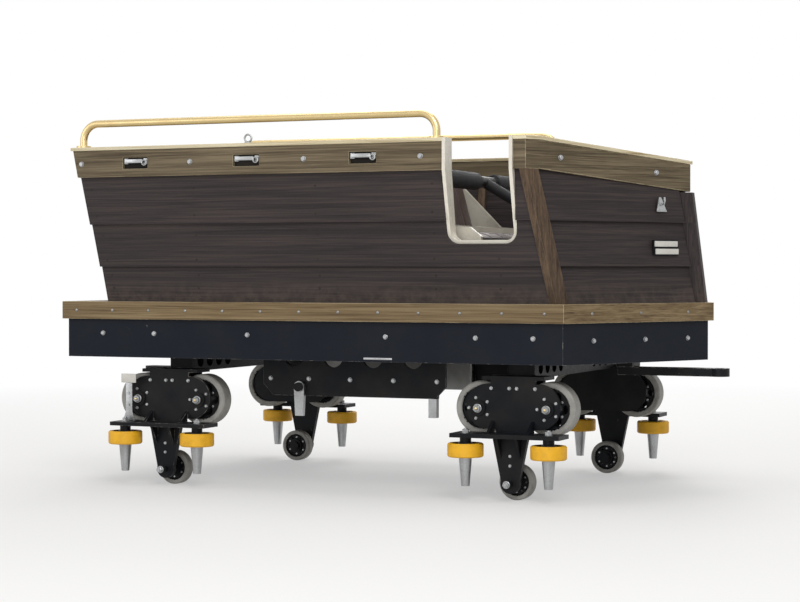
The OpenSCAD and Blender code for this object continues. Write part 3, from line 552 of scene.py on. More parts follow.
# heights at which one course of planks ends and the next begins, for the grain
COURSE_EDGES = (0.7755, 0.9254)
PLANK = Timber("plank_stain", srgb(52, 45, 45), srgb(36, 31, 32), srgb(67, 58, 56), srgb(72, 62, 58),
               srgb(98, 86, 80), gloss=0.5, courses=COURSE_EDGES, dust_from=0.652)
BAND = Timber("band_stain", srgb(102, 90, 70), srgb(65, 55, 42), srgb(130, 117, 94), srgb(146, 132, 106),
              srgb(176, 164, 136))
CAP = Timber("cap_varnish", srgb(205, 192, 158), srgb(160, 142, 108), srgb(224, 214, 186),
             srgb(214, 202, 170), srgb(232, 224, 200), gloss=0.4)
LEDGE = Timber("ledge_varnish", srgb(117, 98, 70), srgb(78, 62, 43), srgb(144, 125, 94), srgb(182, 165, 129),
               srgb(208, 194, 162), gloss=0.42)
POST = Timber("post_varnish", srgb(82, 66, 52), srgb(52, 41, 33), srgb(104, 86, 68), srgb(106, 90, 71),
              srgb(132, 116, 93), gloss=0.44)
FRAME_PAINT = PaintedMetal("frame_paint", srgb(20, 22, 26))
FRAME_EDGE = PaintedMetal("frame_rubbed_edge", srgb(40, 43, 48), chips=0.75)
SKIRT_PAINT = PaintedMetal("skirt_enamel", srgb(17, 22, 31), gloss=0.44, dusty=0.12, dust=srgb(56, 54, 54))
SKIRT_EDGE = PaintedMetal("skirt_rubbed_edge", srgb(46, 50, 58), chips=0.55)
CARRIER_PAINT = PaintedMetal("carrier_paint", srgb(17, 19, 23), gloss=0.38)
CARRIER_EDGE = PaintedMetal("carrier_rubbed_edge", srgb(44, 46, 52), chips=0.7)
DECK_PAINT = PaintedMetal("deck_paint", srgb(134, 137, 140), under=srgb(172, 172, 170), chips=0.4, gloss=0.5,
                          dusty=0.4, dust=srgb(132, 122, 106))
BAR_PAINT = PaintedMetal("bar_powder_coat", srgb(34, 35, 38), chips=0.2, gloss=0.42)
SCREW_BLACK = PaintedMetal("screw_black", srgb(44, 38, 36), gloss=0.4)
# painted shade: a dark finish for the sheets at the back of the band slots, standing for the shade in those
# recesses
SLOT_SHADE_FINISH = PaintedMetal("slot_lining", srgb(30, 27, 25), gloss=0.7)
ZINC = BareMetal("zinc_plate", srgb(178, 180, 182), gloss=0.36, spangle=0.3)
STEEL = BareMetal("worn_steel", srgb(138, 138, 136), gloss=0.38, tarnished=0.5)
BRASS = BareMetal("rail_brass", srgb(208, 186, 138), gloss=0.3, tarnish=srgb(168, 140, 92),
                  tarnished=0.35, patch=8.0)
GREY_TREAD = CastTread("grey_tread", srgb(152, 150, 144))
YELLOW_TREAD = CastTread("yellow_tread", srgb(238, 178, 24), dirt=srgb(140, 98, 30), dirty=0.28)
GRIP_FOAM = CastTread("grip_foam", srgb(30, 30, 32), dirt=srgb(54, 52, 50), gloss=0.8, pores=1.0)
GEL_COAT = Moulding("seat_gel_coat", srgb(198, 192, 178))
RIM_COAT = Moulding("rim_gel_coat", srgb(226, 220, 206), film=srgb(170, 160, 140))
VINYL = GrainedVinyl("seat_vinyl", srgb(58, 40, 34))
PIPING = GrainedVinyl("piping_vinyl", srgb(30, 22, 20), painted_sheen=srgb(50, 40, 36))
BLANK_PLATE = Moulding("blank_plate_enamel", srgb(206, 204, 196), film=srgb(170, 165, 155))


# workshop


def crease(bm: bmesh.types.BMesh, angle: float) -> None:
    """Marks the edges that stay sharp.

    Args:
        bm: The mesh.
        angle: Least angle of a sharp edge, in degrees.
    """
    limit = math.radians(angle)
    for face in bm.faces:
        face.smooth = True
    for edge in bm.edges:
        edge.smooth = len(edge.link_faces) == 2 and edge.calc_face_angle(0.0) < limit


def as_mesh(bm: bmesh.types.BMesh, name: str) -> bpy.types.Mesh:
    """Turns a working mesh into a mesh, and frees it.

    Args:
        bm: The working mesh, which is used up.
        name: Name of the mesh.

    Returns:
        The mesh.
    """
    mesh = bpy.data.meshes.new(name)
    bm.to_mesh(mesh)
    bm.free()
    return mesh


def as_object(data: bpy.types.ID, name: str) -> bpy.types.Object:
    """Puts a mesh, a lamp or a camera in the scene, at the origin.

    Args:
        data: The mesh, lamp or camera.
        name: Name of the object.

    Returns:
        The object.
    """
    thing = bpy.data.objects.new(name, data)
    bpy.context.scene.collection.objects.link(thing)
    return thing


def put(bm: bmesh.types.BMesh, name: str, body: str, finishes: list[Finish], slot: str = "",
        sharp: float = 32.0, outward: bool = False) -> bpy.types.Object:
    """Turns a working mesh into a piece that rides on a body.

    Args:
        bm: The mesh, which is used up.
        name: Name of the piece.
        body: Body that it rides on.
        finishes: Finishes in the order of the faces' material numbers.
        slot: The record's material slot; not used.
        sharp: Least angle of a sharp edge, in degrees.
        outward: True to turn all faces outwards first.

    Returns:
        The new object.
    """
    if outward:
        bmesh.ops.recalc_face_normals(bm, faces=bm.faces)
    crease(bm, sharp)
    mesh = as_mesh(bm, name)
    for finish in finishes:
        mesh.materials.append(finish.material())
    piece = as_object(mesh, name)
    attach(piece, body)
    return piece


def tag(faces: list[bmesh.types.BMFace], number: int) -> None:
    """Gives faces a material number."""
    for face in faces:
        face.material_index = number


def add_mesh(bm: bmesh.types.BMesh, mesh: bpy.types.Mesh, place: Matrix, number: int | None = None) -> None:
    """Adds a placed copy of a mesh.

    Args:
        bm: The mesh that grows.
        mesh: The mesh to copy.
        place: Where the copy goes.
        number: Material number of the copy, kept as it is if left out.
    """
    copy = mesh.copy()
    copy.transform(place)
    if number is not None:
        copy.polygons.foreach_set("material_index", [number] * len(copy.polygons))
    bm.from_mesh(copy)
    bpy.data.meshes.remove(copy)


def prism(bm: bmesh.types.BMesh, outline: list[Vector], rise: Vector, ease: float) -> None:
    """Adds a plate with eased edges.

    Args:
        bm: The mesh that grows.
        outline: Corners of one face, in order.
        rise: The way to the other face.
        ease: Width of the eased edges.
    """
    near = [bm.verts.new(p) for p in outline]
    far = [bm.verts.new(p + rise) for p in outline]
    count = len(outline)
    faces = [bm.faces.new(near), bm.faces.new(far[::-1])]
    for i in range(count):
        after = (i + 1) % count
        faces.append(bm.faces.new((near[i], far[i], far[after], near[after])))
    bmesh.ops.recalc_face_normals(bm, faces=faces)
    bevelled(bm, list({e for f in faces for e in f.edges}), ease, 2)


def slab(bm: bmesh.types.BMesh, size: Point, place: Matrix, ease: float = 0.0, number: int = 0) -> None:
    """Adds a placed block with eased edges.

    Args:
        bm: The mesh that grows.
        size: Its length along its own X, Y and Z.
        place: Where its middle goes.
        ease: Width of the eased edges.
        number: Material number.
    """
    made = bmesh.ops.create_cube(bm, size=1.0, matrix=place @ Matrix.Diagonal((*size, 1.0)))
    tag(list({f for v in made["verts"] for f in v.link_faces}), number)
    if ease:
        bevelled(bm, list({e for v in made["verts"] for e in v.link_edges}), ease, 2)


def block(bm: bmesh.types.BMesh, low: Point, high: Point, ease: float) -> None:
    """Adds an upright block with eased edges.

    Args:
        bm: The mesh that grows.
        low: One corner.
        high: The opposite corner.
        ease: Width of the eased edges.
    """
    size = tuple(abs(step) for step in Vector(high) - Vector(low))
    slab(bm, size, Matrix.Translation((Vector(low) + Vector(high)) / 2), ease)


def bevelled(bm: bmesh.types.BMesh, edges: list[bmesh.types.BMEdge], width: float,
             segments: int) -> list[bmesh.types.BMFace]:
    """Rounds edges, and holds the width back where it would overlap.

    Args:
        bm: The mesh.
        edges: Edges to round.
        width: Width of the rounding.
        segments: Number of strips.

    Returns:
        The new faces.
    """
    return bmesh.ops.bevel(
        bm, geom=edges, offset=width, offset_type="OFFSET", segments=segments, profile=0.5,
        affect="EDGES", clamp_overlap=True, material=-1)["faces"]


def turned(bm: bmesh.types.BMesh, outline: list[Pair], steps: int) -> list[bmesh.types.BMVert]:
    """Turns an outline that starts and ends on the Z axis about it.

    Args:
        bm: The mesh that grows.
        outline: Radius and height of each corner, in order.
        steps: Number of steps of a full turn.

    Returns:
        The new vertices.
    """
    before = set(bm.verts)
    corners = [bm.verts.new((radius, 0.0, height)) for radius, height in outline]
    edges = [bm.edges.new(pair) for pair in zip(corners, corners[1:])]
    bmesh.ops.spin(bm, geom=corners + edges, cent=(0, 0, 0), axis=(0, 0, 1), angle=math.tau,
                   steps=steps, use_merge=True)
    return [v for v in bm.verts if v not in before]


def facing(normal: Point, place: Point, twist: float = 0.0) -> Matrix:
    """A placement that turns +Z to a direction.

    Args:
        normal: Direction that +Z turns to.
        place: Where the origin goes.
        twist: Turn about the direction, in radians.

    Returns:
        The placement.
    """
    quat = Vector(normal).to_track_quat("Z", "Y")
    return Matrix.Translation(place) @ quat.to_matrix().to_4x4() @ Matrix.Rotation(twist, 4, "Z")


def sideways(side: int) -> Point:
    """Direction out of the left side for 1, and out of the right side for -1."""
    return (0.0, float(side), 0.0)


def polar(radius: float, angle: float) -> Vector:
    """A point of the XY plane, from its distance and its angle in radians."""
    return Vector((radius * math.cos(angle), radius * math.sin(angle), 0.0))


def copy_of(node: str) -> bmesh.types.BMesh:
    """A merged copy of a CAD node's mesh, with its flat faces joined.

    Args:
        node: Name of the CAD node.

    Returns:
        The working mesh.
    """
    bm = bmesh.new()
    bm.from_mesh(frame["nodes"][node].data)
    bmesh.ops.remove_doubles(bm, verts=bm.verts, dist=0.02 * MM)
    bmesh.ops.dissolve_limit(bm, angle_limit=math.radians(0.6), verts=bm.verts, edges=bm.edges)
    tag(list(bm.faces), 0)
    return bm


def split_at(bm: bmesh.types.BMesh, place: Point, normal: Point, reach: float) -> None:
    """Cuts all faces along a plane.

    Args:
        bm: The mesh.
        place: A point on the plane.
        normal: The plane's normal.
        reach: Distance from the plane at which a corner counts as on it.
    """
    bmesh.ops.bisect_plane(bm, geom=bm.verts[:] + bm.edges[:] + bm.faces[:], dist=reach,
                           plane_co=place, plane_no=normal)


def even_shade(piece: bpy.types.Object) -> None:
    """Weighs a piece's normals by area, so that large flat faces look flat between eased edges."""
    shade = piece.modifiers.new("even_shade", "WEIGHTED_NORMAL")
    shade.keep_sharp = True


@dataclass(frozen=True)
class Patch:
    """A part of a node with a finish of its own, given as a box over the left half."""

    low: Point
    high: Point
    finish: Finish

    def holds(self, spot: Vector) -> bool:
        """True where a point, or its mirror image on the left, lies in the box."""
        folded = (spot.x, abs(spot.y), spot.z)
        return all(a <= c <= b for a, c, b in zip(self.low, folded, self.high))


@dataclass(frozen=True)
class Dress:
    """How one CAD node is shown: a clean copy with eased edges and its finish."""

    node: str
    finish: Finish | None = None
    edge: Finish | None = None
    ease: float = 1.5 * MM
    least: float = 6 * MM
    sharp: float = 34.0
    patches: tuple[Patch, ...] = ()
    flush: tuple[Pair, ...] = ()
    flush_reach: float = 1.5 * MM

    def meets(self, spot: Vector) -> bool:
        """True where a point lies on a joint with the next board."""
        return any(math.hypot(spot.x - x, abs(spot.y) - y) < self.flush_reach for x, y in self.flush)

    def eased(self, bm: bmesh.types.BMesh) -> list[bmesh.types.BMFace]:
        """Rounds the sharp edges that are long enough.

        Args:
            bm: The mesh.

        Returns:
            The new faces.
        """
        if not self.ease:
            return []
        limit = math.radians(self.sharp)
        edges = [
            e for e in bm.edges
            if len(e.link_faces) == 2 and e.calc_length() > self.least and e.calc_face_angle(0.0) > limit
            and not all(self.meets(v.co) for v in e.verts)
        ]
        return bevelled(bm, edges, self.ease, 2)

    def finishes(self) -> list[Finish]:
        """The finishes of faces, worn edges and patches, in the order of their material numbers."""
        return [self.finish, self.edge or self.finish] + [patch.finish for patch in self.patches]

    def build(self, body: str, slot: str) -> bpy.types.Object:
        """Makes the copy and hides the node.

        Args:
            body: Body that the node rides on.
            slot: The record's material slot of the node.

        Returns:
            The copy.
        """
        bm = copy_of(self.node)
        self.cut(bm)
        rounded = self.eased(bm)
        self.number(bm)
        self.number_edges(rounded)
        piece = put(bm, self.node + "_shown", body, self.finishes(), slot)
        even_shade(piece)
        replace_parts(piece, self.node)
        return piece

    def cut(self, bm: bmesh.types.BMesh) -> None:
        """Cuts faces just below the top of each patch, where its finish ends."""
        for patch in self.patches:
            split_at(bm, (0.0, 0.0, patch.high[2] - 0.1 * MM), UP, 0.1 * MM)

    def number(self, bm: bmesh.types.BMesh) -> None:
        """Numbers the faces that lie in a patch.

        Args:
            bm: The mesh.
        """
        for face in bm.faces:
            middle = face.calc_center_median()
            for i, patch in enumerate(self.patches):
                if patch.holds(middle):
                    face.material_index = i + 2

    def number_edges(self, rounded: list[bmesh.types.BMFace]) -> None:
        """Numbers the rounded edges, outside the patches."""
        tag([f for f in rounded if f.is_valid and f.material_index == 0], 1)


@dataclass(frozen=True)
class BoardDress(Dress):
    """A dress of boards, whose fibres follow the side, the stern, the bow or the post.

    A board with no lay of its own runs round the tub, and is mitred at corner and stern, both given in plan.
    """

    timber: Timber | None = None
    lay: Lay | None = None
    corner: Pair = (0.770, 0.640)
    corner_normal: Pair = (0.8523, -0.5231)
    stern: Pair = (-1.120, 0.640)
    stern_normal: Pair = (1.0, 1.0)
    stem_half: float = 0.0

    def finishes(self) -> list[Finish]:
        """The finishes of the timber."""
        return self.timber.finishes()

    def cut(self, bm: bmesh.types.BMesh) -> None:
        """Cuts the boards at their mitres.

        Args:
            bm: The mesh.
        """
        if self.lay:
            return
        for side in SIDES:
            for place, normal in ((self.corner, self.corner_normal), (self.stern, self.stern_normal)):
                split_at(bm, (place[0], side * place[1], 0.0), (normal[0], side * normal[1], 0.0), 1.2 * MM)

    @staticmethod
    def ahead(spot: Pair, place: Pair, normal: Pair) -> float:
        """How far a spot lies ahead of a mitre, as a multiple of the normal's length."""
        return (spot[0] - place[0]) * normal[0] + (spot[1] - place[1]) * normal[1]

    def way(self, face: bmesh.types.BMFace) -> Lay:
        """Finds the way that the fibres run in a face.

        Args:
            face: The face.

        Returns:
            The way.
        """
        middle = face.calc_center_median()
        spot = (middle.x, abs(middle.y))
        if spot[1] < self.stem_half:
            return Lay.UPRIGHT
        if self.lay:
            return self.lay
        if self.ahead(spot, self.corner, self.corner_normal) > 0:
            return Lay.BOW
        if self.ahead(spot, self.stern, self.stern_normal) < 0:
            return Lay.ACROSS
        return Lay.ALONG

    def number(self, bm: bmesh.types.BMesh) -> None:
        """Numbers the faces by the way that their fibres run."""
        ways = list(Lay)
        for face in bm.faces:
            face.material_index = ways.index(self.way(face))

    def number_edges(self, rounded: list[bmesh.types.BMFace]) -> None:
        """Numbers the rounded edges."""
        tag([f for f in rounded if f.is_valid], len(Lay))


class Fixing(Enum):
    """Kinds of fixings. A tray says which finish they wear."""

    HEX = "hexagon head on a washer"
    DOME = "domed head"
    NUT = "nut on a threaded end"
    SCREW = "countersunk screw"


# outlines of the turned parts of a fixing, as radius and height for a thread size of 1
WASHER = [(0.0, 0.0), (1.05, 0.0), (1.05, 0.12), (0.98, 0.16), (0.0, 0.16)]
THREAD_END = [(0.0, 0.8), (0.5, 0.8), (0.5, 1.12), (0.42, 1.22), (0.0, 1.22)]
DOMED_HEAD = [(0.0, 0.0), (1.0, 0.0), (1.0, 0.07), (0.92, 0.22), (0.7, 0.38), (0.38, 0.5), (0.0, 0.54)]
SCREW_HEAD = [(0.0, 0.0), (1.0, 0.0), (0.96, 0.1), (0.34, 0.16), (0.3, 0.02), (0.0, 0.02)]
WASHER_TOP = 0.16


def fixing_mesh(kind: Fixing) -> bpy.types.Mesh:
    """Makes a fixing of thread size 1 that stands on the XY plane.

    Args:
        kind: The kind of fixing.

    Returns:
        Its mesh.
    """
    bm = bmesh.new()
    if kind in (Fixing.HEX, Fixing.NUT):
        turned(bm, WASHER, 24)
        tall = 0.62 if kind is Fixing.HEX else 0.78
        middle = WASHER_TOP + tall / 2
        head = bmesh.ops.create_cone(bm, cap_ends=True, segments=6, radius1=0.9, radius2=0.9, depth=tall,
                                     matrix=Matrix.Translation((0, 0, middle)))
        top = {e for v in head["verts"] for e in v.link_edges if all(w.co.z > middle for w in e.verts)}
        bevelled(bm, list(top), 0.09, 1)
    if kind is Fixing.NUT:
        turned(bm, THREAD_END, 16)
    if kind is Fixing.DOME:
        turned(bm, DOMED_HEAD, 20)
    if kind is Fixing.SCREW:
        turned(bm, SCREW_HEAD, 16)
    bmesh.ops.remove_doubles(bm, verts=bm.verts, dist=1e-4)
    bmesh.ops.recalc_face_normals(bm, faces=bm.faces)
    return as_mesh(bm, "fixing_" + kind.name.lower())


class FixingTray:
    """Collects the fixings of one piece and builds them as one mesh."""

    def __init__(self, name: str, body: str, finish: Finish, slot: str = "") -> None:
        """Starts an empty tray.

        Args:
            name: Name of the piece.
            body: Body that the fixings ride on.
            finish: Their finish.
            slot: The record's material slot.
        """
        self.name, self.body, self.finish, self.slot = name, body, finish, slot
        self.bm = bmesh.new()
        self.shapes: dict[Fixing, bpy.types.Mesh] = {}
        self.twist = random.Random(len(name))

    def add(self, kind: Fixing, place: Point, normal: Point, thread: float) -> None:
        """Adds one fixing.

        Args:
            kind: Its kind.
            place: Point on the surface that it sits on.
            normal: Direction out of that surface.
            thread: Its thread size in metres, half its head's width.
        """
        if kind not in self.shapes:
            self.shapes[kind] = fixing_mesh(kind)
        seat = facing(normal, place, self.twist.uniform(0, math.tau))
        add_mesh(self.bm, self.shapes[kind], seat @ Matrix.Scale(thread, 4))

    def ring(self, kind: Fixing, centre: Point, normal: Point, radius: float, count: int,
             thread: float) -> None:
        """Adds fixings on a circle.

        Args:
            kind: Their kind.
            centre: Middle of the circle on the surface.
            normal: Direction out of the surface.
            radius: Radius of the circle.
            count: Number of fixings.
            thread: Their thread size.
        """
        turn = facing(normal, centre)
        for i in range(count):
            angle = math.tau * (i + 0.5) / count
            self.add(kind, tuple(turn @ polar(radius, angle)), normal, thread)

    def build(self) -> bpy.types.Object:
        """Builds the collected fixings as one piece."""
        return put(self.bm, self.name, self.body, [self.finish], self.slot, sharp=28.0)


def tube(bm: bmesh.types.BMesh, path: list[Vector], radius: float, sides: int,
         closed: bool = False) -> None:
    """Lays a round tube along a path.

    Args:
        bm: The mesh that grows.
        path: Points that the tube follows.
        radius: Its radius.
        sides: Number of its sides.
        closed: True where the path ends at its start.
    """
    before = set(bm.faces)
    rings = []
    count = len(path)
    for i, point in enumerate(path):
        ahead = path[(i + 1) % count] if closed or i + 1 < count else point
        behind = path[i - 1] if closed or i > 0 else point
        course = (ahead - behind).normalized()
        across = course.cross(Vector(UP))
        if across.length < 1e-4:
            across = course.cross(Vector((0.0, 1.0, 0.0)))
        across.normalize()
        rise = across.cross(course).normalized()
        ring = bmesh.ops.create_circle(bm, segments=sides, radius=radius)["verts"]
        turn = Matrix((across, rise, course)).transposed().to_4x4()
        bmesh.ops.transform(bm, matrix=Matrix.Translation(point) @ turn, verts=ring)
        rings.append(ring)
    spans = list(zip(rings, rings[1:])) + ([(rings[-1], rings[0])] if closed else [])
    for first, second in spans:
        edges = [e for ring in (first, second) for v in ring for e in v.link_edges
                 if e.other_vert(v) in ring]
        bmesh.ops.bridge_loops(bm, edges=list(set(edges)))
    if not closed:
        for ring in (rings[0], rings[-1]):
            bm.faces.new(ring)
    bmesh.ops.recalc_face_normals(bm, faces=[f for f in bm.faces if f not in before])


def eye(centre: Vector, radius: float, steps: int) -> list[Vector]:
    """The path of an upright ring that faces the side.

    Args:
        centre: Its middle.
        radius: Its radius.
        steps: Number of points.

    Returns:
        The points, in order.
    """
    flat = (polar(radius, math.tau * k / steps) for k in range(steps))
    return [centre + Vector((spot.x, 0.0, spot.y)) for spot in flat]


# sides of a weld bead, and length of its ripples as a share of its half thickness
BEAD_SIDES = 8
RIPPLE = 0.7


def weld(bm: bmesh.types.BMesh, start: Vector, end: Vector, size: float) -> None:
    """Lays a rippled weld bead in a corner.

    Args:
        bm: The mesh that grows.
        start: Where the bead starts.
        end: Where it ends.
        size: Its half thickness.
    """
    way = end - start
    count = max(4, int(way.length / (RIPPLE * size)))
    turn = facing(tuple(way.normalized()), (0, 0, 0))
    rings = []
    for i in range(count + 1):
        share = i / count
        reach = size * min(1.0, 0.3 + 6 * min(share, 1 - share)) * (1.0 if i % 2 else 0.82)
        middle = start + way * share
        rings.append([bm.verts.new(middle + turn @ polar(reach, math.tau * k / BEAD_SIDES))
                      for k in range(BEAD_SIDES)])
    faces = [bm.faces.new(rings[0]), bm.faces.new(rings[-1][::-1])]
    for first, second in zip(rings, rings[1:]):
        for k in range(BEAD_SIDES):
            after = (k + 1) % BEAD_SIDES
            faces.append(bm.faces.new((first[k], second[k], second[after], first[after])))
    bmesh.ops.recalc_face_normals(bm, faces=faces)


# tub


@dataclass
class Tub:
    """Lapped plank tub with its band, caps, ledge, skirt and their fixings."""

    ledge_top: float = 0.652
    cap_top: float = 1.200
    band_low: float = 1.093
    band_high: float = 1.188
    band_y: float = 0.628
    ledge_y: float = 0.640
    skirt_y: float = 0.624
    plank_foot_y: float = 0.560
    plank_head_y: float = 0.612
    plank_thick: float = 0.022
    plank_lap: float = 0.014
    # foot, head and heights of the screws of each course
    courses: tuple[tuple[float, float, Pair], ...] = (
        (0.652, 0.775, (0.70, 0.745)), (0.775, 0.925, (0.80, 0.885)), (0.925, 1.093, (0.955, 1.05)))
    bow_lean: float = 0.5992
    bow_tip: float = 1.050
    bow_rake: float = 0.070
    stern_foot: float = -0.970
    stern_rake: float = 0.110
    entry_foot: float = 0.84

    slot_places: tuple[float, ...] = (-0.825, -0.385, 0.055)
    slot_long: float = 0.100
    slot_high: float = 0.040
    slot_depth: float = 0.010

    band_places: tuple[float, ...] = (-1.045, -0.605, -0.165, 0.265)
    band_bolt: float = 9 * MM
    ledge_start: float = -1.06
    ledge_step: float = 0.147
    ledge_count: int = 13
    ledge_bolt_z: float = 0.621
    ledge_bolt: float = 5.5 * MM
    skirt_places: tuple[float, ...] = (-0.96, -0.752, -0.383, 0.137, 0.46, 0.66)
    skirt_bolt_z: float = 0.540
    skirt_bolt: float = 8 * MM
    stern_places: tuple[float, ...] = (-0.42, -0.14, 0.14, 0.42)

    batten: Point = (0.030, 0.018, 0.424)
    batten_places: tuple[float, ...] = (-0.86, -0.62, -0.22, 0.02, 0.26)
    # height of the plate and of the cleat, and their distance from the middle of the bow
    plate_z: float = 0.839
    cleat_z: float = 0.985
    fitting_reach: float = 0.150

    @property
    def band_middle(self) -> float:
        """Height of the middle of the band."""
        return (self.band_low + self.band_high) / 2

    @property
    def flare(self) -> float:
        """How far the side leans out for each metre of height."""
        return (self.plank_head_y - self.plank_foot_y) / (self.band_low - self.ledge_top)

    @property
    def bow_normal(self) -> Vector:
        """Direction out of the right half of the bow."""
        return Vector((1.0, -self.bow_lean, 0.0)).normalized()

    def plank_y(self, z: float) -> float:
        """Half width over the thin top edges of the planks at a height."""
        return self.plank_foot_y + self.flare * (z - self.ledge_top)

    def bow_tip_at(self, z: float) -> float:
        """Place of the bow's tip at a height."""
        return self.bow_tip - self.bow_rake * (z - self.ledge_top) / (self.cap_top - self.ledge_top)

    def stern_at(self, z: float) -> float:
        """Place of the stern at a height."""
        return self.stern_foot - self.stern_rake * (z - self.ledge_top) / (self.cap_top - self.ledge_top)

    def boards(self) -> list[Dress]:
        """The CAD boards and how each is shown."""
        band = {"ease": 3 * MM, "corner": (0.635, 0.628), "stern": (-1.083, 0.628),
                "flush": ((0.664, 0.580), (0.626, 0.557), (0.669, 0.583), (0.621, 0.554))}
        return [
            BoardDress("side_left", ease=3 * MM, timber=PLANK, lay=Lay.ALONG),
            BoardDress("side_right", ease=3 * MM, timber=PLANK, lay=Lay.ALONG),
            BoardDress("stern_panel", ease=3 * MM, timber=PLANK, lay=Lay.ACROSS),
            BoardDress("nose_panels", ease=3 * MM, timber=PLANK, lay=Lay.BOW, stem_half=0.0345),
            BoardDress("corner_posts", ease=2.5 * MM, timber=POST, lay=Lay.UPRIGHT),
            BoardDress("gunwale_sides", timber=BAND, **band),
            BoardDress("gunwale_ends", timber=BAND, **band),
            BoardDress("gunwale_caps", timber=CAP, **band),
            Dress("entry_rims", RIM_COAT, ease=2 * MM),
            BoardDress("ledge", ease=4 * MM, timber=LEDGE),
            Dress("skirt", SKIRT_PAINT, SKIRT_EDGE, 1.2 * MM),
            Dress("floor_pan", DECK_PAINT, ease=1.0 * MM),
        ]

    def outer_bolts(self) -> None:
        """Bolts on the band, small bolts on the ledge and bolts on the skirt plates."""
        band = FixingTray("band_bolts", "car", ZINC, "band_olive")
        ledge = FixingTray("ledge_bolts", "car", STEEL, "tan_board")
        skirt = FixingTray("skirt_bolts", "car", ZINC, "skirt_paint")
        for side in SIDES:
            out = sideways(side)
            for x in self.band_places:
                band.add(Fixing.HEX, (x, side * self.band_y, self.band_middle), out, self.band_bolt)
            for i in range(self.ledge_count):
                x = self.ledge_start + i * self.ledge_step
                ledge.add(Fixing.DOME, (x, side * self.ledge_y, self.ledge_bolt_z), out, self.ledge_bolt)
            for x in self.skirt_places:
                skirt.add(Fixing.HEX, (x, side * self.skirt_y, self.skirt_bolt_z), out, self.skirt_bolt)
            self.bow_bolts(side, band, ledge, skirt)
        for y in self.stern_places:
            band.add(Fixing.HEX, (-1.0825, y, self.band_middle), ASTERN, self.band_bolt)
            ledge.add(Fixing.DOME, (-1.120, y, self.ledge_bolt_z), ASTERN, self.ledge_bolt)
            skirt.add(Fixing.HEX, (-1.104, y, self.skirt_bolt_z), ASTERN, self.skirt_bolt)
        for tray in (band, ledge, skirt):
            tray.build()

    def bow_bolts(self, side: int, band: FixingTray, ledge: FixingTray, skirt: FixingTray) -> None:
        """Sets bolts along one half of the bow.

        Args:
            side: 1 for left, -1 for right.
            band: Tray of the band's bolts.
            ledge: Tray of the ledge's bolts.
            skirt: Tray of the skirt's bolts.
        """
        spots = [(share, self.ledge_bolt_z) for share in (0.18, 0.5, 0.82)]
        self.along_bow(ledge, Fixing.DOME, self.ledge_bolt, (0.770, side * 0.640), 1.095, spots)
        spots = [(share, self.skirt_bolt_z - 8 * MM) for share in (0.2, 0.55, 0.85)]
        self.along_bow(skirt, Fixing.HEX, self.skirt_bolt, (0.762, side * 0.624), 1.075, spots)
        tip = self.bow_tip_at(self.band_low) + 0.016 * math.sqrt(1 + self.bow_lean ** 2)
        corner = (tip - self.bow_lean * self.band_y, side * self.band_y)
        spots = [(share, self.band_middle - fall) for share, fall in ((0.2, 9 * MM), (0.78, 46 * MM))]
        self.along_bow(band, Fixing.HEX, self.band_bolt, corner, tip, spots)

    @staticmethod
    def along_bow(tray: FixingTray, kind: Fixing, thread: float, corner: Pair, tip: float,
                  spots: list[Pair]) -> None:
        """Sets fixings along a straight line from a corner of the bow to its tip.

        Args:
            tray: Tray that takes them.
            kind: Their kind.
            thread: Their thread size.
            corner: X and Y at the corner.
            tip: X at the tip, in the middle of the bow.
            spots: Share of the line, from the corner, and height of each fixing.
        """
        start, end = Vector((*corner, 0.0)), Vector((tip, 0.0, 0.0))
        course = (end - start).normalized()
        normal = (abs(course.y), math.copysign(course.x, corner[1]), 0.0)
        for share, height in spots:
            point = start.lerp(end, share)
            tray.add(kind, (point.x, point.y, height), normal, thread)

    def slot_straps(self) -> None:
        """A zinc strap with a foot at each end and a small eye, in the upper half of each band slot."""
        bm = bmesh.new()
        for side in SIDES:
            back = side * (self.band_y - self.slot_depth)
            foot = side * (self.band_y - 4 * MM)
            face = side * (self.band_y + 5 * MM)
            for x in self.slot_places:
                block(bm, (x - 0.040, back, 1.140), (x + 0.030, face, 1.154), 2 * MM)
                for start in (-0.047, 0.031):
                    block(bm, (x + start, back, 1.137), (x + start + 0.016, foot, 1.157), 1.5 * MM)
                centre = Vector((x + 0.040, face + side * 1.5 * MM, 1.141))
                tube(bm, eye(centre, 9 * MM, 16), 2.4 * MM, 8, closed=True)
        put(bm, "band_straps", "car", [ZINC], "band_olive", outward=True)

    def paint_slot_shade(self) -> None:
        """Dark sheets of painted shade that stand just off the back of each band slot, for the shade in the
        recess.
        """
        bm = bmesh.new()
        half_long, half_high = self.slot_long / 2 - 1 * MM, self.slot_high / 2 - 1 * MM
        low, high = self.band_middle - half_high, self.band_middle + half_high
        for side in SIDES:
            near, far = (side * (self.band_y - self.slot_depth + gap) for gap in (0.2 * MM, 1.4 * MM))
            for x in self.slot_places:
                block(bm, (x - half_long, near, low), (x + half_long, far, high), 0.4 * MM)
        put(bm, "band_slot_linings", "car", [SLOT_SHADE_FINISH], "band_olive", outward=True)

    def skirt_strips(self) -> None:
        """A short polished strip low on each side of the skirt."""
        tray = FixingTray("skirt_strips", "car", ZINC, "skirt_paint")
        for side in SIDES:
            back, face = side * (self.skirt_y + 0.05 * MM), side * (self.skirt_y + 2.6 * MM)
            block(tray.bm, (0.058, back, 0.4625), (0.162, face, 0.4695), 0.8 * MM)
            for x in (0.066, 0.154):
                tray.add(Fixing.DOME, (x, face, 0.466), sideways(side), 2 * MM)
        tray.build()

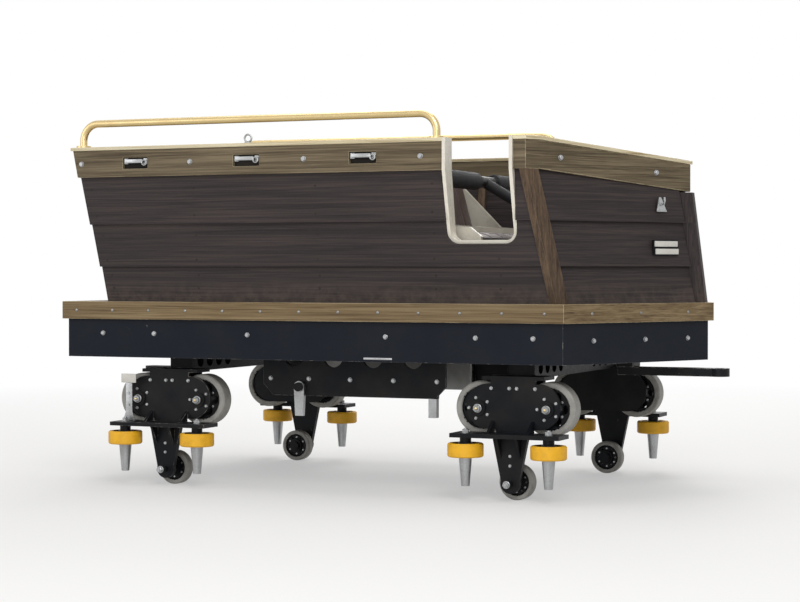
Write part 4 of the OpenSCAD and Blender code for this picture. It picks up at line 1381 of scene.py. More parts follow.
    def cap_eyes(self) -> None:
        """A small lifting eye on each side cap."""
        bm = bmesh.new()
        foot = [(0.0, 0.0), (13 * MM, 0.0), (13 * MM, 3 * MM), (11 * MM, 4 * MM), (0.0, 4 * MM)]
        for side in SIDES:
            place = Vector((-0.385, side * 0.612, self.cap_top))
            bmesh.ops.translate(bm, vec=place, verts=turned(bm, foot, 24))
            tube(bm, eye(place + Vector((0.0, 0.0, 17 * MM)), 13 * MM, 24), 3.5 * MM, 10, closed=True)
        bmesh.ops.remove_doubles(bm, verts=bm.verts, dist=0.01 * MM)
        put(bm, "cap_eyes", "car", [ZINC], "cap_cream", outward=True)

    def on_bow(self, height: float, reach: float, out: float) -> Vector:
        """Finds a point on the planks of the right half of the bow.

        Args:
            height: Its height.
            reach: Its distance from the tip, along the planks.
            out: Its distance out of their face.

        Returns:
            The point.
        """
        course = Vector((-self.bow_lean, -1.0, 0.0)).normalized()
        return Vector((self.bow_tip_at(height), 0.0, height)) + course * reach + self.bow_normal * out

    def bow_plate(self) -> None:
        """Two blank enamel bars on a dark backing, on the right half of the bow."""
        bm = bmesh.new()
        normal = tuple(self.bow_normal)
        for step in (-13 * MM, 13 * MM):
            centre = self.on_bow(self.plate_z + step, self.fitting_reach, 21 * MM)
            slab(bm, (0.104, 0.019, 0.006), facing(normal, tuple(centre)), 1.5 * MM)
        centre = self.on_bow(self.plate_z, self.fitting_reach, 14 * MM)
        slab(bm, (0.112, 0.052, 0.008), facing(normal, tuple(centre)), number=1)
        put(bm, "bow_blank_plate", "car", [BLANK_PLATE, FRAME_PAINT], "cap_cream", outward=True)

    def bow_cleat(self) -> None:
        """A triangular plate with a small horn, above the bow plate."""
        tray = FixingTray("bow_cleat", "car", ZINC, "cap_cream")
        normal = self.bow_normal
        corners = ((-0.024, -0.024), (0.024, -0.024), (0.005, 0.026), (-0.005, 0.026))
        outline = [self.on_bow(self.cleat_z + v, self.fitting_reach + u, 0.0155) for u, v in corners]
        prism(tray.bm, outline, normal * 5 * MM, 1.5 * MM)
        # height above the plate's middle and distance out of the planks
        horn = ((0.0, 0.018), (0.003, 0.034), (0.013, 0.040), (0.025, 0.040))
        path = [self.on_bow(self.cleat_z + rise, self.fitting_reach, out) for rise, out in horn]
        tube(tray.bm, path, 4 * MM, 10)
        for shift in (-0.015, 0.015):
            place = self.on_bow(self.cleat_z - 0.016, self.fitting_reach + shift, 0.0205)
            tray.add(Fixing.DOME, tuple(place), tuple(normal), 4 * MM)
        tray.build()

    def plank_screws(self) -> None:
        """Small dark screws along each course beside the posts, the stern and the entry."""
        tray = FixingTray("plank_screws", "car", SCREW_BLACK, "plank_dark")
        for side in SIDES:
            out = (0.0, float(side), -0.4 * self.flare)
            for low, high, heights in self.courses:
                for z in heights:
                    y = self.plank_y(z) + self.plank_lap * (high - z) / (high - low)
                    places = [self.stern_at(z) + 0.035, -0.60, -0.13, 0.30]
                    if z < self.entry_foot:
                        places.append(0.53)
                    for x in places:
                        tray.add(Fixing.SCREW, (x, side * (y - 0.2 * MM), z), out, 4.2 * MM)
        tray.build()

    def inner_battens(self) -> None:
        """Upright battens inside the side boards."""
        bm = bmesh.new()
        thick, tall = self.batten[1:]
        z = self.ledge_top + tall / 2 + 10 * MM
        y = self.plank_y(z) - self.plank_thick - thick / 2 - 1 * MM
        for side in SIDES:
            slant = Matrix.Identity(4)
            slant[1][2] = side * self.flare
            for x in self.batten_places:
                slab(bm, self.batten, Matrix.Translation((x, side * y, z)) @ slant, 2.5 * MM)
        put(bm, "side_battens", "car", [POST.laid(Lay.UPRIGHT)], "post_brown", outward=True)

    def build(self) -> None:
        """Builds the fixings, straps and fittings of the tub."""
        self.outer_bolts()
        self.slot_straps()
        self.paint_slot_shade()
        self.skirt_strips()
        self.cap_eyes()
        self.bow_plate()
        self.bow_cleat()
        self.plank_screws()
        self.inner_battens()


@dataclass
class Handrails:
    """Screws of the brass side rails' flanged feet."""

    foot_top: float = 1.206
    foot_x: Pair = (-1.050, 0.315)
    foot_y: float = 0.606
    ring: float = 19.5 * MM
    screw: float = 3.6 * MM

    def build(self) -> None:
        """Adds the screws round each foot."""
        tray = FixingTray("rail_foot_screws", "car", BRASS, "brass_tube")
        for side in SIDES:
            for x in self.foot_x:
                tray.ring(Fixing.DOME, (x, side * self.foot_y, self.foot_top), UP, self.ring, 4, self.screw)
        tray.build()


@dataclass
class Deck:
    """Raised lugs of the tread plate between and ahead of the seats."""

    top: float = 0.604
    pitch: float = 0.032
    long_half: float = 0.0125
    wide_half: float = 0.0038
    rise: float = 0.0014
    half: float = 0.500
    runs: tuple[Pair, ...] = ((0.468, 0.985), (-0.445, -0.095), (-0.905, -0.58), (0.02, 0.40))
    # tip of the free floor in the bow, and how far the bow leans back for each metre to the side
    bow_tip: float = 0.960
    bow_lean: float = 0.5992
    bracket_half: float = 0.075
    bracket_runs: tuple[Pair, ...] = ((0.445, 0.595), (-0.47, -0.32))

    def lug(self) -> bpy.types.Mesh:
        """One lozenge with sloping flanks."""
        bm = bmesh.new()
        made = bmesh.ops.create_circle(bm, cap_ends=True, segments=8, radius=1.0)
        bmesh.ops.scale(bm, vec=(self.long_half, self.wide_half, 1.0), verts=made["verts"])
        lifted = bmesh.ops.extrude_face_region(bm, geom=list(bm.faces))
        top = [v for v in lifted["geom"] if isinstance(v, bmesh.types.BMVert)]
        bmesh.ops.translate(bm, vec=(0, 0, self.rise), verts=top)
        bmesh.ops.scale(bm, vec=(0.78, 0.6, 1.0), verts=top)
        bmesh.ops.recalc_face_normals(bm, faces=bm.faces)
        return as_mesh(bm, "deck_lug")

    def free(self, x: float, y: float) -> bool:
        """Finds whether a lug is clear of the bow and of the lap bars' brackets.

        Args:
            x: Its place along the car.
            y: Its place across the car.

        Returns:
            True where it is.
        """
        ahead = x > self.bow_tip - self.bow_lean * abs(y)
        under = abs(y) < self.bracket_half and any(low < x < high for low, high in self.bracket_runs)
        return not (ahead or under)

    def build(self) -> None:
        """Lays the lugs in alternating directions."""
        bm = bmesh.new()
        lug = self.lug()
        rows = int(self.half / self.pitch)
        for low, high in self.runs:
            for i in range(int((high - low) / self.pitch) + 1):
                for j in range(-rows, rows + 1):
                    x, y = low + i * self.pitch, j * self.pitch
                    turn = Matrix.Rotation(math.radians(45 if (i + j) % 2 else -45), 4, "Z")
                    if self.free(x, y):
                        add_mesh(bm, lug, Matrix.Translation((x, y, self.top)) @ turn)
        put(bm, "deck_lugs", "car", [DECK_PAINT], "tread_plate", sharp=20)


# seats


def read_points(mesh: bpy.types.Mesh, what: str) -> np.ndarray:
    """Reads a vector of every vertex.

    Args:
        mesh: The mesh.
        what: co for the places, normal for the normals.

    Returns:
        One row for each vertex.
    """
    values = np.empty(len(mesh.vertices) * 3, dtype=np.float32)
    mesh.vertices.foreach_get(what, values)
    return values.reshape(-1, 3).astype(float)


def write_points(mesh: bpy.types.Mesh, points: np.ndarray) -> None:
    """Moves every vertex of a mesh to its row of points."""
    mesh.vertices.foreach_set("co", points.ravel())
    mesh.update()


def smooth(mesh: bpy.types.Mesh) -> None:
    """Shades every face of a mesh smooth."""
    mesh.polygons.foreach_set("use_smooth", [True] * len(mesh.polygons))


def bake(piece: bpy.types.Object) -> None:
    """Applies a piece's modifiers to its mesh.

    Args:
        piece: The piece.
    """
    view = bpy.context.evaluated_depsgraph_get()
    mesh = bpy.data.meshes.new_from_object(piece.evaluated_get(view))
    piece.modifiers.clear()
    old = piece.data
    piece.data = mesh
    bpy.data.meshes.remove(old)


@dataclass
class Pad:
    """One seat or back pad, blown up by cloth simulation.

    Its outline is in X and Z, and starts and ends on the side that rests on the shell. shown_way is the
    direction in X and Z that its channels face, and piping_lift raises the front of its piping.
    """

    name: str
    outline: list[Pair]
    low_y: float
    high_y: float
    shown_way: Pair
    cap: float
    piping_lift: float = 0.0
    voxel: float = 6.4 * MM
    pressure: float = 4.0
    shrink: float = 4 * MM
    edge_round: float = 9 * MM
    rest_reach: float = 3 * MM
    cloth_steps: int = 20

    def blank(self) -> bpy.types.Object:
        """The foam block before it is blown up, a little smaller than the finished pad."""
        bm = bmesh.new()
        centre = Vector((sum(p[0] for p in self.outline), 0.0, sum(p[1] for p in self.outline)))
        centre /= len(self.outline)
        corners = []
        for x, z in self.outline:
            inward = (centre - Vector((x, 0.0, z))).normalized() * self.shrink
            corners.append(bm.verts.new((x + inward.x, self.low_y + self.shrink, z + inward.z)))
        face = bm.faces.new(corners)
        grown = bmesh.ops.extrude_face_region(bm, geom=[face])
        moved = [v for v in grown["geom"] if isinstance(v, bmesh.types.BMVert)]
        bmesh.ops.translate(bm, vec=(0, self.high_y - self.low_y - 2 * self.shrink, 0), verts=moved)
        bmesh.ops.recalc_face_normals(bm, faces=bm.faces)
        bevelled(bm, list(bm.edges), self.edge_round, 3)
        blank = as_object(as_mesh(bm, self.name), self.name)
        grid = blank.modifiers.new("grid", "REMESH")
        grid.mode = "VOXEL"
        grid.voxel_size = self.voxel
        bake(blank)
        return blank

    def rests(self, spot: np.ndarray) -> bool:
        """Finds whether a point lies on the resting side, which stays flat.

        Args:
            spot: The point.

        Returns:
            True where it does.
        """
        first, last = Vector(self.outline[0]), Vector(self.outline[-1])
        line = (last - first).normalized()
        offset = Vector((spot[0], spot[2])) - first
        return abs(line.x * offset.y - line.y * offset.x) < self.shrink + self.rest_reach

    def blow_up(self, pad: bpy.types.Object) -> None:
        """Runs the cloth simulation and applies it, with each point's travel capped.

        Args:
            pad: The remeshed blank.
        """
        start = read_points(pad.data, "co")
        held = pad.vertex_groups.new(name="held")
        held.add([i for i, co in enumerate(start) if self.rests(co)], 1.0, "REPLACE")
        cloth = pad.modifiers.new("cloth", "CLOTH")
        cloth.settings.vertex_group_mass = "held"
        cloth.settings.use_pressure = True
        cloth.settings.uniform_pressure_force = self.pressure
        cloth.settings.effector_weights.gravity = 0.0
        cloth.settings.quality = 4
        cloth.settings.mass = 0.25
        cloth.settings.tension_stiffness = 12
        cloth.settings.compression_stiffness = 12
        cloth.settings.bending_stiffness = 0.6
        cloth.point_cache.frame_start, cloth.point_cache.frame_end = 1, self.cloth_steps
        for step in range(1, self.cloth_steps + 1):
            bpy.context.scene.frame_set(step)
        bake(pad)
        bpy.context.scene.frame_set(1)
        travel = read_points(pad.data, "co") - start
        length = np.maximum(np.linalg.norm(travel, axis=1), 1e-9)
        travel *= (np.minimum(length, self.cap) / length)[:, None]
        write_points(pad.data, start + travel)
        pad.vertex_groups.clear()

    def make(self) -> bpy.types.Object:
        """Builds the pad, left of the middle and in the front row's place."""
        pad = self.blank()
        self.blow_up(pad)
        finer = pad.modifiers.new("finer", "SUBSURF")
        finer.levels = finer.render_levels = 1
        bake(pad)
        return pad


@dataclass
class Seats:
    """Two bench rows with a pair of seat pads and a pair of back pads each."""

    seat_x: float = 0.450
    row_pitch: float = 0.915
    floor_z: float = 0.604
    pan_h: float = 0.226
    pan_l: float = 0.450
    back_h: float = 0.350
    back_lean: float = 0.085
    pan_drop: float = 0.012
    lip: float = 0.020
    thick: float = 0.055
    inner_y: float = 0.020
    outer_y: float = 0.468
    gap: float = 1.0 * MM

    channel_lines: int = 3
    channel_width: float = 5.5 * MM
    channel_depth: float = 5.5 * MM
    # above 1, a channel keeps its full depth where the pad's face begins to turn away
    channel_hold: float = 1.3
    piping_radius: float = 3.2 * MM
    piping_inset: float = 2 * MM
    piping_turn: float = 24 * MM
    piping_step: float = 12 * MM

    def pan_face(self, x: float) -> float:
        """Height of the seat pan at x behind its front edge."""
        return self.pan_h + self.pan_drop * x / (self.pan_l - self.lip)

    def back_face(self, z: float) -> float:
        """Place of the seat back's face at height z above the floor."""
        share = (z - self.pan_h + self.pan_drop) / (self.back_h + self.pan_drop)
        return -self.pan_l + self.lip - (self.back_lean + self.lip) * share

    def pads(self) -> tuple[Pad, Pad]:
        """The left seat pad and the left back pad of the front row."""
        front, rear = -0.019, -self.pan_l + self.thick + 0.035
        seat = [(front, self.pan_face(front) + self.gap), (front, self.pan_h + 0.043),
                (front - 0.012, self.pan_h + self.thick), (rear, self.pan_h + 0.045),
                (rear, self.pan_face(rear) + self.gap)]
        low, high = self.pan_h + 0.010, self.pan_h + self.back_h * 0.9
        back = [(self.back_face(low) + self.gap, low), (self.back_face(low) + 0.044, low),
                (self.back_face(high) + 0.044, high + 0.004), (self.back_face(high) + self.gap, high)]
        seat, back = ([(x + self.seat_x, z + self.floor_z) for x, z in side] for side in (seat, back))
        return (Pad("seat_pad", seat, self.inner_y, self.outer_y, shown_way=(0.3, 1.0), cap=9 * MM,
                    piping_lift=4 * MM),
                Pad("back_pad", back, self.inner_y, self.outer_y, shown_way=(1.0, 0.0), cap=8 * MM))

    def press_channels(self, mesh: bpy.types.Mesh, way: Pair) -> None:
        """Presses sewn channels into a pad's face.

        Args:
            mesh: The pad's mesh.
            way: Direction in X and Z that the channels face.
        """
        span = self.outer_y - self.inner_y
        seams = [self.inner_y + span * (k + 1) / (self.channel_lines + 1) for k in range(self.channel_lines)]
        spots, normals = read_points(mesh, "co"), read_points(mesh, "normal")
        push = sum(np.exp(-((spots[:, 1] - seam) / self.channel_width) ** 2) for seam in seams)
        share = (normals[:, 0] * way[0] + normals[:, 2] * way[1]) * self.channel_hold
        push *= self.channel_depth * np.clip(share, 0.0, 1.0)
        write_points(mesh, spots - normals * push[:, None])

    def piping(self, plan: Pad, tree: BVHTree) -> bpy.types.Mesh:
        """Lays piping round the edge of a pad's showing face.

        Args:
            plan: The pad's plan.
            tree: The finished pad's surface.

        Returns:
            The piping's mesh.
        """
        (front_x, front_z), (rear_x, rear_z) = plan.outline[1], plan.outline[-2]
        front, rear = Vector((front_x, 0.0, front_z + plan.piping_lift)), Vector((rear_x, 0.0, rear_z))
        inset = (rear - front).normalized() * self.piping_inset
        low, high = (Vector((0.0, y, 0.0)) for y in (self.inner_y + self.piping_inset,
                                                     self.outer_y - self.piping_inset))
        corners = [front + inset + low, rear - inset + low, rear - inset + high, front + inset + high]
        path = []
        for i, corner in enumerate(corners):
            before, after = corners[i - 1], corners[(i + 1) % len(corners)]
            start = corner + (before - corner).normalized() * self.piping_turn
            end = corner + (after - corner).normalized() * self.piping_turn
            for share in (k / 6 for k in range(7)):
                path.append(start * (1 - share) ** 2 + corner * 2 * share * (1 - share) + end * share * share)
            far = after + (corner - after).normalized() * self.piping_turn
            steps = max(2, int((far - end).length / self.piping_step))
            path.extend(end.lerp(far, k / steps) for k in range(1, steps))
        bm = bmesh.new()
        tube(bm, [tree.find_nearest(spot)[0] or spot for spot in path], self.piping_radius, 8, closed=True)
        mesh = as_mesh(bm, plan.name + "_piping")
        smooth(mesh)
        return mesh

    @staticmethod
    def placed(mesh: bpy.types.Mesh, name: str, place: Matrix, finish: Finish) -> bpy.types.Object:
        """Sets a copy of a pad's or piping's mesh in the car, with its faces outwards.

        Args:
            mesh: The mesh to copy.
            name: Name of the piece.
            place: Where it goes.
            finish: Its finish.

        Returns:
            The piece.
        """
        copy = mesh.copy()
        copy.transform(place)
        if place.determinant() < 0:
            copy.flip_normals()
        copy.materials.clear()
        copy.materials.append(finish.material())
        piece = as_object(copy, name)
        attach(piece, "car")
        return piece

    def build(self) -> None:
        """Makes the two pads once, and sets them on both sides of both rows."""
        for plan in self.pads():
            pad = plan.make()
            self.press_channels(pad.data, plan.shown_way)
            smooth(pad.data)
            bm = bmesh.new()
            bm.from_mesh(pad.data)
            piping = self.piping(plan, BVHTree.FromBMesh(bm))
            bm.free()
            for row, shift in (("front", 0.0), ("rear", -self.row_pitch)):
                for hand, side in (("left", 1), ("right", -1)):
                    place = Matrix.Translation((shift, 0, 0)) @ Matrix.Diagonal((1, side, 1, 1))
                    cover = self.placed(pad.data, f"{plan.name}_{row}_{hand}", place, VINYL)
                    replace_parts(cover, "cushions_" + row)
                    self.placed(piping, f"{plan.name}_piping_{row}_{hand}", place, PIPING)
            bpy.data.objects.remove(pad)
            LOG.info("made the %s of both rows", plan.name)


@dataclass
class LapBars:
    """Bars with foam grips, and the screws of their floor brackets."""

    pivots: tuple[tuple[str, float], ...] = (("front", 0.520), ("rear", -0.395))
    pivot_z: float = 0.664
    cross_back: float = 0.270
    cross_up: float = 0.415
    grip_y: Pair = (0.075, 0.395)
    grip_radius: Pair = (0.0205, 0.040)
    bracket_top: float = 0.612

    def gripped(self, spot: Vector, centre: Vector) -> bool:
        """Finds whether a point lies on a grip.

        Args:
            spot: The point.
            centre: Middle of the bar's cross tube.

        Returns:
            True where it does.
        """
        (inner, outer), (least, most) = self.grip_y, self.grip_radius
        off = Vector((spot.x - centre.x, 0.0, spot.z - centre.z)).length
        return inner < abs(spot.y) < outer and least < off < most

    def bars(self) -> None:
        """Shows each bar as a smooth copy whose grips wear foam."""
        for row, x in self.pivots:
            node = "lap_bar_" + row
            bm = copy_of(node)
            centre = Vector((x - self.cross_back, 0.0, self.pivot_z + self.cross_up))
            tag([f for f in bm.faces if self.gripped(f.calc_center_median(), centre)], 1)
            rims = [e for e in bm.edges
                    if len(e.link_faces) == 2 and e.calc_face_angle(0.0) > math.radians(50)
                    and any(f.material_index == 1 for f in e.link_faces)]
            tag(bevelled(bm, rims, 3.5 * MM, 3), 1)
            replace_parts(put(bm, node + "_shown", node, [BAR_PAINT, GRIP_FOAM], "bar_steel"), node)

    def build(self) -> None:
        """Builds the bars and the bolts of their brackets."""
        self.bars()
        tray = FixingTray("bar_bracket_bolts", "car", ZINC, "bar_steel")
        for _, x in self.pivots:
            for shift in (-0.046, 0.046):
                for side in SIDES:
                    tray.add(Fixing.HEX, (x + shift, side * 0.050, self.bracket_top), UP, 5 * MM)
            for side in SIDES:
                tray.add(Fixing.NUT, (x, side * 0.0479, self.pivot_z), sideways(side), 9 * MM)
        tray.build()


# running gear


@dataclass(frozen=True)
class WheelDress(Dress):
    """A CAD wheel with a steel web, a cast tread and bolts between the holes of its web."""

    centre: Point = (0.0, 0.0, 0.0)
    spin: Point = (0.0, 1.0, 0.0)
    rim: float = 0.066
    half: float = 0.030
    web_depth: float = 8 * MM
    tread: Finish | None = None
    bolts: int = 6
    bolt: float = 4.5 * MM
    bolt_ring: float = 0.0472

    def finishes(self) -> list[Finish]:
        """Web, worn edges, tread and bolts."""
        return [CARRIER_PAINT, CARRIER_EDGE, self.tread, ZINC]

    def number(self, bm: bmesh.types.BMesh) -> None:
        """Numbers the tread's faces, then adds the bolts.

        Args:
            bm: The mesh.
        """
        axis, middle = Vector(self.spin), Vector(self.centre)
        for face in bm.faces:
            reach = min((v.co - middle - axis * (v.co - middle).dot(axis)).length for v in face.verts)
            face.material_index = 2 if reach > self.rim + 0.3 * MM else 0
        head = fixing_mesh(Fixing.HEX)
        rise = Vector((0.0, 0.0, self.half - self.web_depth))
        for side in SIDES:
            out = tuple(axis * side)
            turn = facing(out, (0, 0, 0))
            for k in range(self.bolts):
                angle = math.tau * (k + 0.5) / self.bolts
                spot = middle + turn @ (polar(self.bolt_ring, angle) + rise)
                add_mesh(bm, head, facing(out, tuple(spot), angle) @ Matrix.Scale(self.bolt, 4), 3)


@dataclass
class RunningGear:
    """The wheels, carriers and axle beams with their nuts and bolts."""

    # letter in the nodes' names, body and place of each axle
    axles: tuple[tuple[str, str, float], ...] = (("f", "axle_front", 0.560), ("r", "axle_rear", -0.740))
    half_gauge: float = 0.490
    run_z: float = 0.305
    guide_y: float = 0.598
    guide_z: float = 0.170
    stop_z: float = 0.060
    run_reach: float = 0.120
    guide_reach: float = 0.145
    cheek_out: float = 0.540
    hub_face: float = 0.554
    arm_face: float = 0.568
    shelf_top: float = 0.2262
    kingpin_z: float = 0.473
    # foot, waist and head of the rear brackets, as half width and height
    bracket: tuple[Pair, ...] = ((0.024, 0.2264), (0.013, 0.262), (0.013, 0.392))
    bracket_back: float = 0.5695

    def wheels(self) -> list[WheelDress]:
        """All running, guide and up-stop wheels and how each is shown."""
        found = []
        small = {"rim": 0.040, "bolt": 3.2 * MM, "bolt_ring": 0.0332, "ease": 1.2 * MM}
        for end, _, x in self.axles:
            for hand, side in (("l", 1), ("r", -1)):
                for letter, step in (("a", 1), ("b", -1)):
                    found.append(WheelDress(
                        f"run_{end}{hand}_{letter}", ease=1.4 * MM, tread=GREY_TREAD,
                        centre=(x + step * self.run_reach, side * self.half_gauge, self.run_z)))
                    found.append(WheelDress(
                        f"guide_{end}{hand}_{letter}", tread=YELLOW_TREAD, half=0.024, spin=UP,
                        centre=(x + step * self.guide_reach, side * self.guide_y, self.guide_z), **small))
                found.append(WheelDress(f"stop_{end}{hand}", tread=GREY_TREAD, half=0.020,
                                        centre=(x, side * self.half_gauge, self.stop_z), **small))
        return found

    def weld_beads(self) -> None:
        """Welds between the outer cheeks, the guide shelves and the up-stop arms, and brass grease caps."""
        for _, body, x in self.axles:
            bm = bmesh.new()
            caps = FixingTray(body + "_grease_caps", body, BRASS, "carrier_black")
            for side in SIDES:
                for y, z in ((self.cheek_out + 0.5 * MM, 0.2265), (self.arm_face + 0.5 * MM, 0.2115)):
                    start, end = (Vector((x + shift, side * y, z)) for shift in (-0.046, 0.046))
                    weld(bm, start, end, 3.2 * MM)
                for step in SIDES:
                    caps.add(Fixing.DOME, (x + step * self.run_reach, side * 0.5708, self.run_z),
                             sideways(side), 5 * MM)
            put(bm, body + "_welds", body, [CARRIER_PAINT], "carrier_black", sharp=60.0)
            caps.build()

    def rear_brackets(self) -> None:
        """A zinc bracket with a small white plate over the rearmost guide wheel of each side."""
        _, body, axle_x = self.axles[1]
        tray = FixingTray("rear_brackets", body, ZINC, "carrier_black")
        x = axle_x - self.guide_reach
        right = [(half, z) for half, z in self.bracket]
        left = [(-half, z) for half, z in reversed(self.bracket)]
        # from the foot's left corner to its right, up and round the head
        corners = left[-1:] + right + left[:-1]
        plates = bmesh.new()
        for side in SIDES:
            outline = [Vector((x + shift, side * self.bracket_back, z)) for shift, z in corners]
            prism(tray.bm, outline, Vector((0.0, side * 4 * MM, 0.0)), 1 * MM)
            block(tray.bm, (x - 0.024, side * 0.5480, 0.2262), (x + 0.024, side * 0.5705, 0.2302), 1 * MM)
            for z in (0.285, 0.325):
                tray.add(Fixing.HEX, (x, side * (self.bracket_back + 4 * MM), z), sideways(side), 5 * MM)
            block(plates, (x - 0.030, side * 0.5737, 0.362), (x + 0.030, side * 0.5765, 0.394), 1 * MM)
        tray.build()
        put(plates, "rear_bracket_plates", body, [BLANK_PLATE], "carrier_black", outward=True)

    def carrier_fixings(self) -> None:
        """Axle nuts, cheek bolts, shelf nuts and up-stop nuts."""
        for _, body, x in self.axles:
            tray = FixingTray(body + "_nuts", body, ZINC, "carrier_black")
            for side in SIDES:
                out = sideways(side)
                cheek, arm = side * self.cheek_out, side * self.arm_face
                for step in SIDES:
                    wheel_x, guide_x = x + step * self.run_reach, x + step * self.guide_reach
                    tray.add(Fixing.NUT, (wheel_x, side * self.hub_face, self.run_z), out, 14 * MM)
                    tray.ring(Fixing.HEX, (wheel_x, cheek, self.run_z), out, 36 * MM, 5, 5 * MM)
                    tray.add(Fixing.NUT, (guide_x, side * self.guide_y, self.shelf_top), UP, 13 * MM)
                    for shift in (-0.032, 0.032):
                        tray.add(Fixing.HEX, (x + step * 0.045 + shift, cheek, 0.372), out, 6 * MM)
                tray.add(Fixing.NUT, (x, side * 0.602, self.stop_z), out, 12 * MM)
                tray.ring(Fixing.HEX, (x, arm, self.stop_z + 0.075), out, 16 * MM, 2, 5 * MM)
            tray.ring(Fixing.HEX, (x, 0.0, self.kingpin_z), (0.0, 0.0, -1.0), 0.130, 12, 6 * MM)
            tray.build()

    def stub(self, x: float) -> Patch:
        """The bare metal patch of the tapered stub under a guide wheel.

        Args:
            x: Place of the guide wheel.

        Returns:
            The patch.
        """
        half = 25 * MM
        return Patch((x - half, self.guide_y - half, 0.040), (x + half, self.guide_y + half, 0.1462), ZINC)

    def dresses(self) -> list[Dress]:
        """The CAD carriers and beams and how each is shown."""
        found = []
        for end, _, x in self.axles:
            stubs = tuple(self.stub(x + step * self.guide_reach) for step in SIDES)
            found += [Dress(f"carrier_{end}{hand}", CARRIER_PAINT, CARRIER_EDGE, 1.4 * MM, patches=stubs)
                      for hand in "lr"]
        return found + [Dress(f"axle_beam_{end}", CARRIER_PAINT, CARRIER_EDGE, 2 * MM)
                        for end in ("front", "rear")]


@dataclass
class Chassis:
    """Frame, side frames, couplings and catch, with their bolts."""

    web_y: float = 0.392
    # height, thread size and places of each row of bolts on the side frames
    rows: tuple[tuple[float, float, tuple[float, ...]], ...] = (
        (0.380, 8 * MM, (-0.410, -0.260, -0.100, 0.065, 0.228)),
        (0.540, 7 * MM, (-0.40, -0.25, -0.09, 0.07, 0.22)))
    hitch_x: Pair = (-0.975, 0.795)
    hitch_y: float = 0.045
    hitch_z: Pair = (0.446, 0.482)

    def dresses(self) -> list[Dress]:
        """The CAD frame parts and how each is shown."""
        stub = Patch((0.19, 0.36, 0.250), (0.23, 0.41, 0.3201), ZINC)
        return [
            Dress("frame_rails", FRAME_PAINT, FRAME_EDGE, 4 * MM),
            Dress("frame_cross", FRAME_PAINT, FRAME_EDGE, 3 * MM),
            Dress("frame_struts", FRAME_PAINT, FRAME_EDGE, 2 * MM),
            Dress("side_frames", FRAME_PAINT, FRAME_EDGE, 1.2 * MM, patches=(stub,)),
            Dress("brake_fin", STEEL),
            Dress("pawl", ZINC, STEEL),
            Dress("drawbar", FRAME_PAINT, FRAME_EDGE, 2 * MM),
            Dress("coupling_jaw", FRAME_PAINT, FRAME_EDGE),
            Dress("bar_brackets", BAR_PAINT, FRAME_EDGE, 1.2 * MM),
        ]

    def build(self) -> None:
        """Bolts of the side frames and hitch blocks."""
        tray = FixingTray("frame_bolts", "car", ZINC, "frame_black")
        for side in SIDES:
            for z, thread, places in self.rows:
                for x in places:
                    tray.add(Fixing.HEX, (x, side * self.web_y, z), sideways(side), thread)
        for x in self.hitch_x:
            for side in SIDES:
                for z in self.hitch_z:
                    tray.add(Fixing.HEX, (x, side * self.hitch_y, z), sideways(side), 6 * MM)
        tray.build()


# studio


def seen_share(nodes: bpy.types.Nodes, links: bpy.types.NodeLinks) -> bpy.types.NodeSocket:
    """Finds the rays by which the backdrop is seen: directly, in metal or through glass.

    Args:
        nodes: Nodes of the material or the world.
        links: Their links.

    Returns:
        1 for such a ray, 0 for one that only carries light.
    """
    path = nodes.new("ShaderNodeLightPath")
    share = path.outputs["Is Camera Ray"]
    for kind in ("Is Glossy Ray", "Is Transmission Ray"):
        either = nodes.new("ShaderNodeMath")
        either.operation = "MAXIMUM"
        links.new(share, either.inputs[0])
        links.new(path.outputs[kind], either.inputs[1])
        share = either.outputs["Value"]
    return share


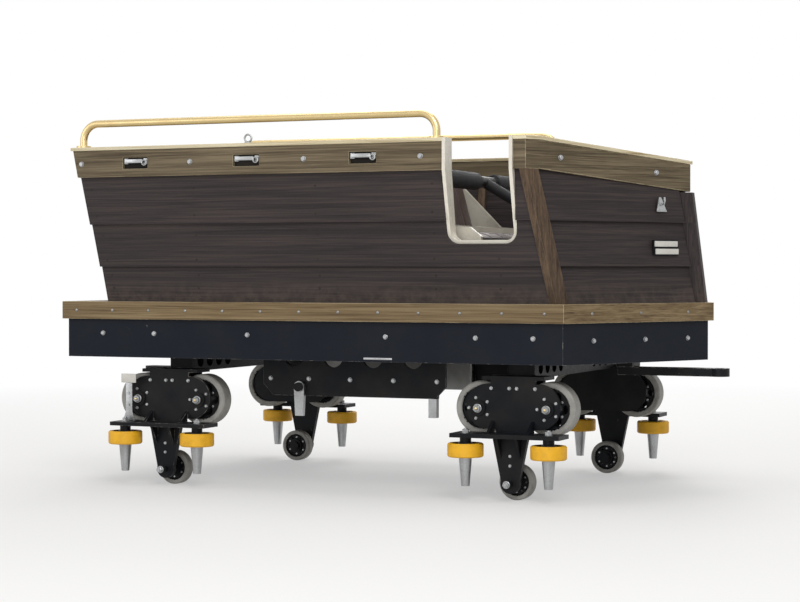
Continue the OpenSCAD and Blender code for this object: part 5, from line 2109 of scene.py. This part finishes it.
@dataclass
class Studio:
    """Pale floor, soft lamps and the camera at the photograph's angle."""

    eye: Point = (2.87, -6.80, 0.76)
    aim: Point = (-0.08, 0.0, 0.650)
    lens: float = 91.0
    floor_half: float = 40.0

    def floor(self) -> None:
        """A pale floor that fades to white away from the car."""
        sheet = NodeSheet("studio_floor")
        reach = sheet.nodes.new("ShaderNodeVectorMath")
        reach.operation = "LENGTH"
        sheet.feed(reach.inputs[0], sheet.place)
        sheet.done(Base_Color=srgb(226, 224, 220), Roughness=0.85, Specular_IOR_Level=0.1)
        white = sheet.nodes.new("ShaderNodeEmission")
        white.inputs["Color"].default_value = (1, 1, 1, 1)
        fade = sheet.band(reach.outputs["Value"], 1.6, 6.5, 0.42, 1.0)
        share = sheet.calc("MULTIPLY", fade, seen_share(sheet.nodes, sheet.links))
        mixed = sheet.nodes.new("ShaderNodeMixShader")
        sheet.feed(mixed.inputs[0], share)
        sheet.links.new(sheet.shader.outputs[0], mixed.inputs[1])
        sheet.links.new(white.outputs[0], mixed.inputs[2])
        out = next(n for n in sheet.nodes if n.type == "OUTPUT_MATERIAL")
        sheet.links.new(mixed.outputs[0], out.inputs["Surface"])
        bm = bmesh.new()
        bmesh.ops.create_grid(bm, x_segments=1, y_segments=1, size=self.floor_half)
        mesh = as_mesh(bm, "floor")
        mesh.materials.append(sheet.material)
        as_object(mesh, "floor")

    @staticmethod
    def aimed(data: bpy.types.ID, name: str, place: Point, aim: Point) -> bpy.types.Object:
        """Puts a lamp or a camera in the scene, turned to a point.

        Args:
            data: The lamp or camera.
            name: Name of the object.
            place: Where it stands.
            aim: The point it faces.

        Returns:
            The object.
        """
        thing = as_object(data, name)
        thing.location = place
        thing.rotation_mode = "QUATERNION"
        thing.rotation_quaternion = (Vector(aim) - Vector(place)).to_track_quat("-Z", "Y")
        return thing

    def lamp(self, name: str, place: Point, aim: Point, size: float, power: float) -> None:
        """One soft square lamp.

        Args:
            name: Its name.
            place: Where it hangs.
            aim: The point it faces.
            size: Its side.
            power: Its power in watts.
        """
        data = bpy.data.lights.new(name, "AREA")
        data.shape = "SQUARE"
        data.size, data.energy = size, power
        self.aimed(data, name, place, aim)

    def sky(self) -> None:
        """Soft light from all round, white where it is seen directly, in metal or through glass."""
        world = bpy.data.worlds.new("studio")
        bpy.context.scene.world = world
        world.use_nodes = True
        nodes, links = world.node_tree.nodes, world.node_tree.links
        ground = nodes["Background"]
        ground.inputs["Color"].default_value = (0.80, 0.82, 0.86, 1)
        ground.inputs["Strength"].default_value = 0.36
        seen = nodes.new("ShaderNodeBackground")
        seen.inputs["Color"].default_value = (1, 1, 1, 1)
        seen.inputs["Strength"].default_value = 1.0
        mixed = nodes.new("ShaderNodeMixShader")
        links.new(seen_share(nodes, links), mixed.inputs[0])
        links.new(ground.outputs[0], mixed.inputs[1])
        links.new(seen.outputs[0], mixed.inputs[2])
        links.new(mixed.outputs[0], nodes["World Output"].inputs["Surface"])

    def camera(self) -> None:
        """The camera, as far off and as high as the photographer's in the car's own frame."""
        data = bpy.data.cameras.new("camera")
        data.lens = self.lens
        data.clip_end = 100.0
        bpy.context.scene.camera = self.aimed(data, "camera", self.eye, self.aim)

    def build(self) -> None:
        """Sets the stage."""
        bpy.context.scene.view_settings.view_transform = "Standard"
        self.camera()
        self.floor()
        self.sky()
        self.lamp("key", (3.2, -5.2, 4.4), (0.1, 0.0, 0.7), 3.0, 190.0)
        self.lamp("fill", (-4.6, -4.2, 2.2), (0.0, 0.0, 0.6), 3.6, 60.0)
        self.lamp("low_fill", (1.0, -5.5, 0.9), (0.0, 0.0, 0.35), 2.2, 45.0)
        self.lamp("back", (-1.5, 5.4, 4.2), (0.0, 0.0, 0.8), 3.4, 180.0)
        self.lamp("overhead", (-0.3, 0.3, 5.0), (-0.1, 0.0, 0.6), 3.6, 120.0)


def main() -> None:
    """Builds the stage and every piece, and notes the size of the result."""
    logging.basicConfig(level=logging.INFO, format="%(relativeCreated)7d ms  %(message)s")
    Studio().build()
    record = frame["record"]
    slots = {row["node"]: row["material_slot"] for row in record["subparts"]}
    bodies = {node: body for body, nodes in record["behaviour"]["bodies"].items() for node in nodes}
    tub, gear, chassis = Tub(), RunningGear(), Chassis()
    dresses = tub.boards() + gear.dresses() + gear.wheels() + chassis.dresses()
    dresses += [Dress(f"seat_{row}", GEL_COAT, ease=3 * MM) for row in ("front", "rear")]
    dresses.append(Dress("handrails", BRASS, ease=0.0))
    for dress in dresses:
        piece = dress.build(bodies[dress.node], slots[dress.node])
        LOG.info("%s: %d faces", piece.name, len(piece.data.polygons))
    for step in (tub.build, Handrails().build, Deck().build, Seats().build, LapBars().build,
                 gear.carrier_fixings, gear.weld_beads, gear.rear_brackets, chassis.build):
        step()
        LOG.info("done: %s", step.__qualname__)
    for node, thing in frame["nodes"].items():
        if not thing.hide_render:
            LOG.info("still plain: %s", node)


if __name__ == "__main__":
    main()
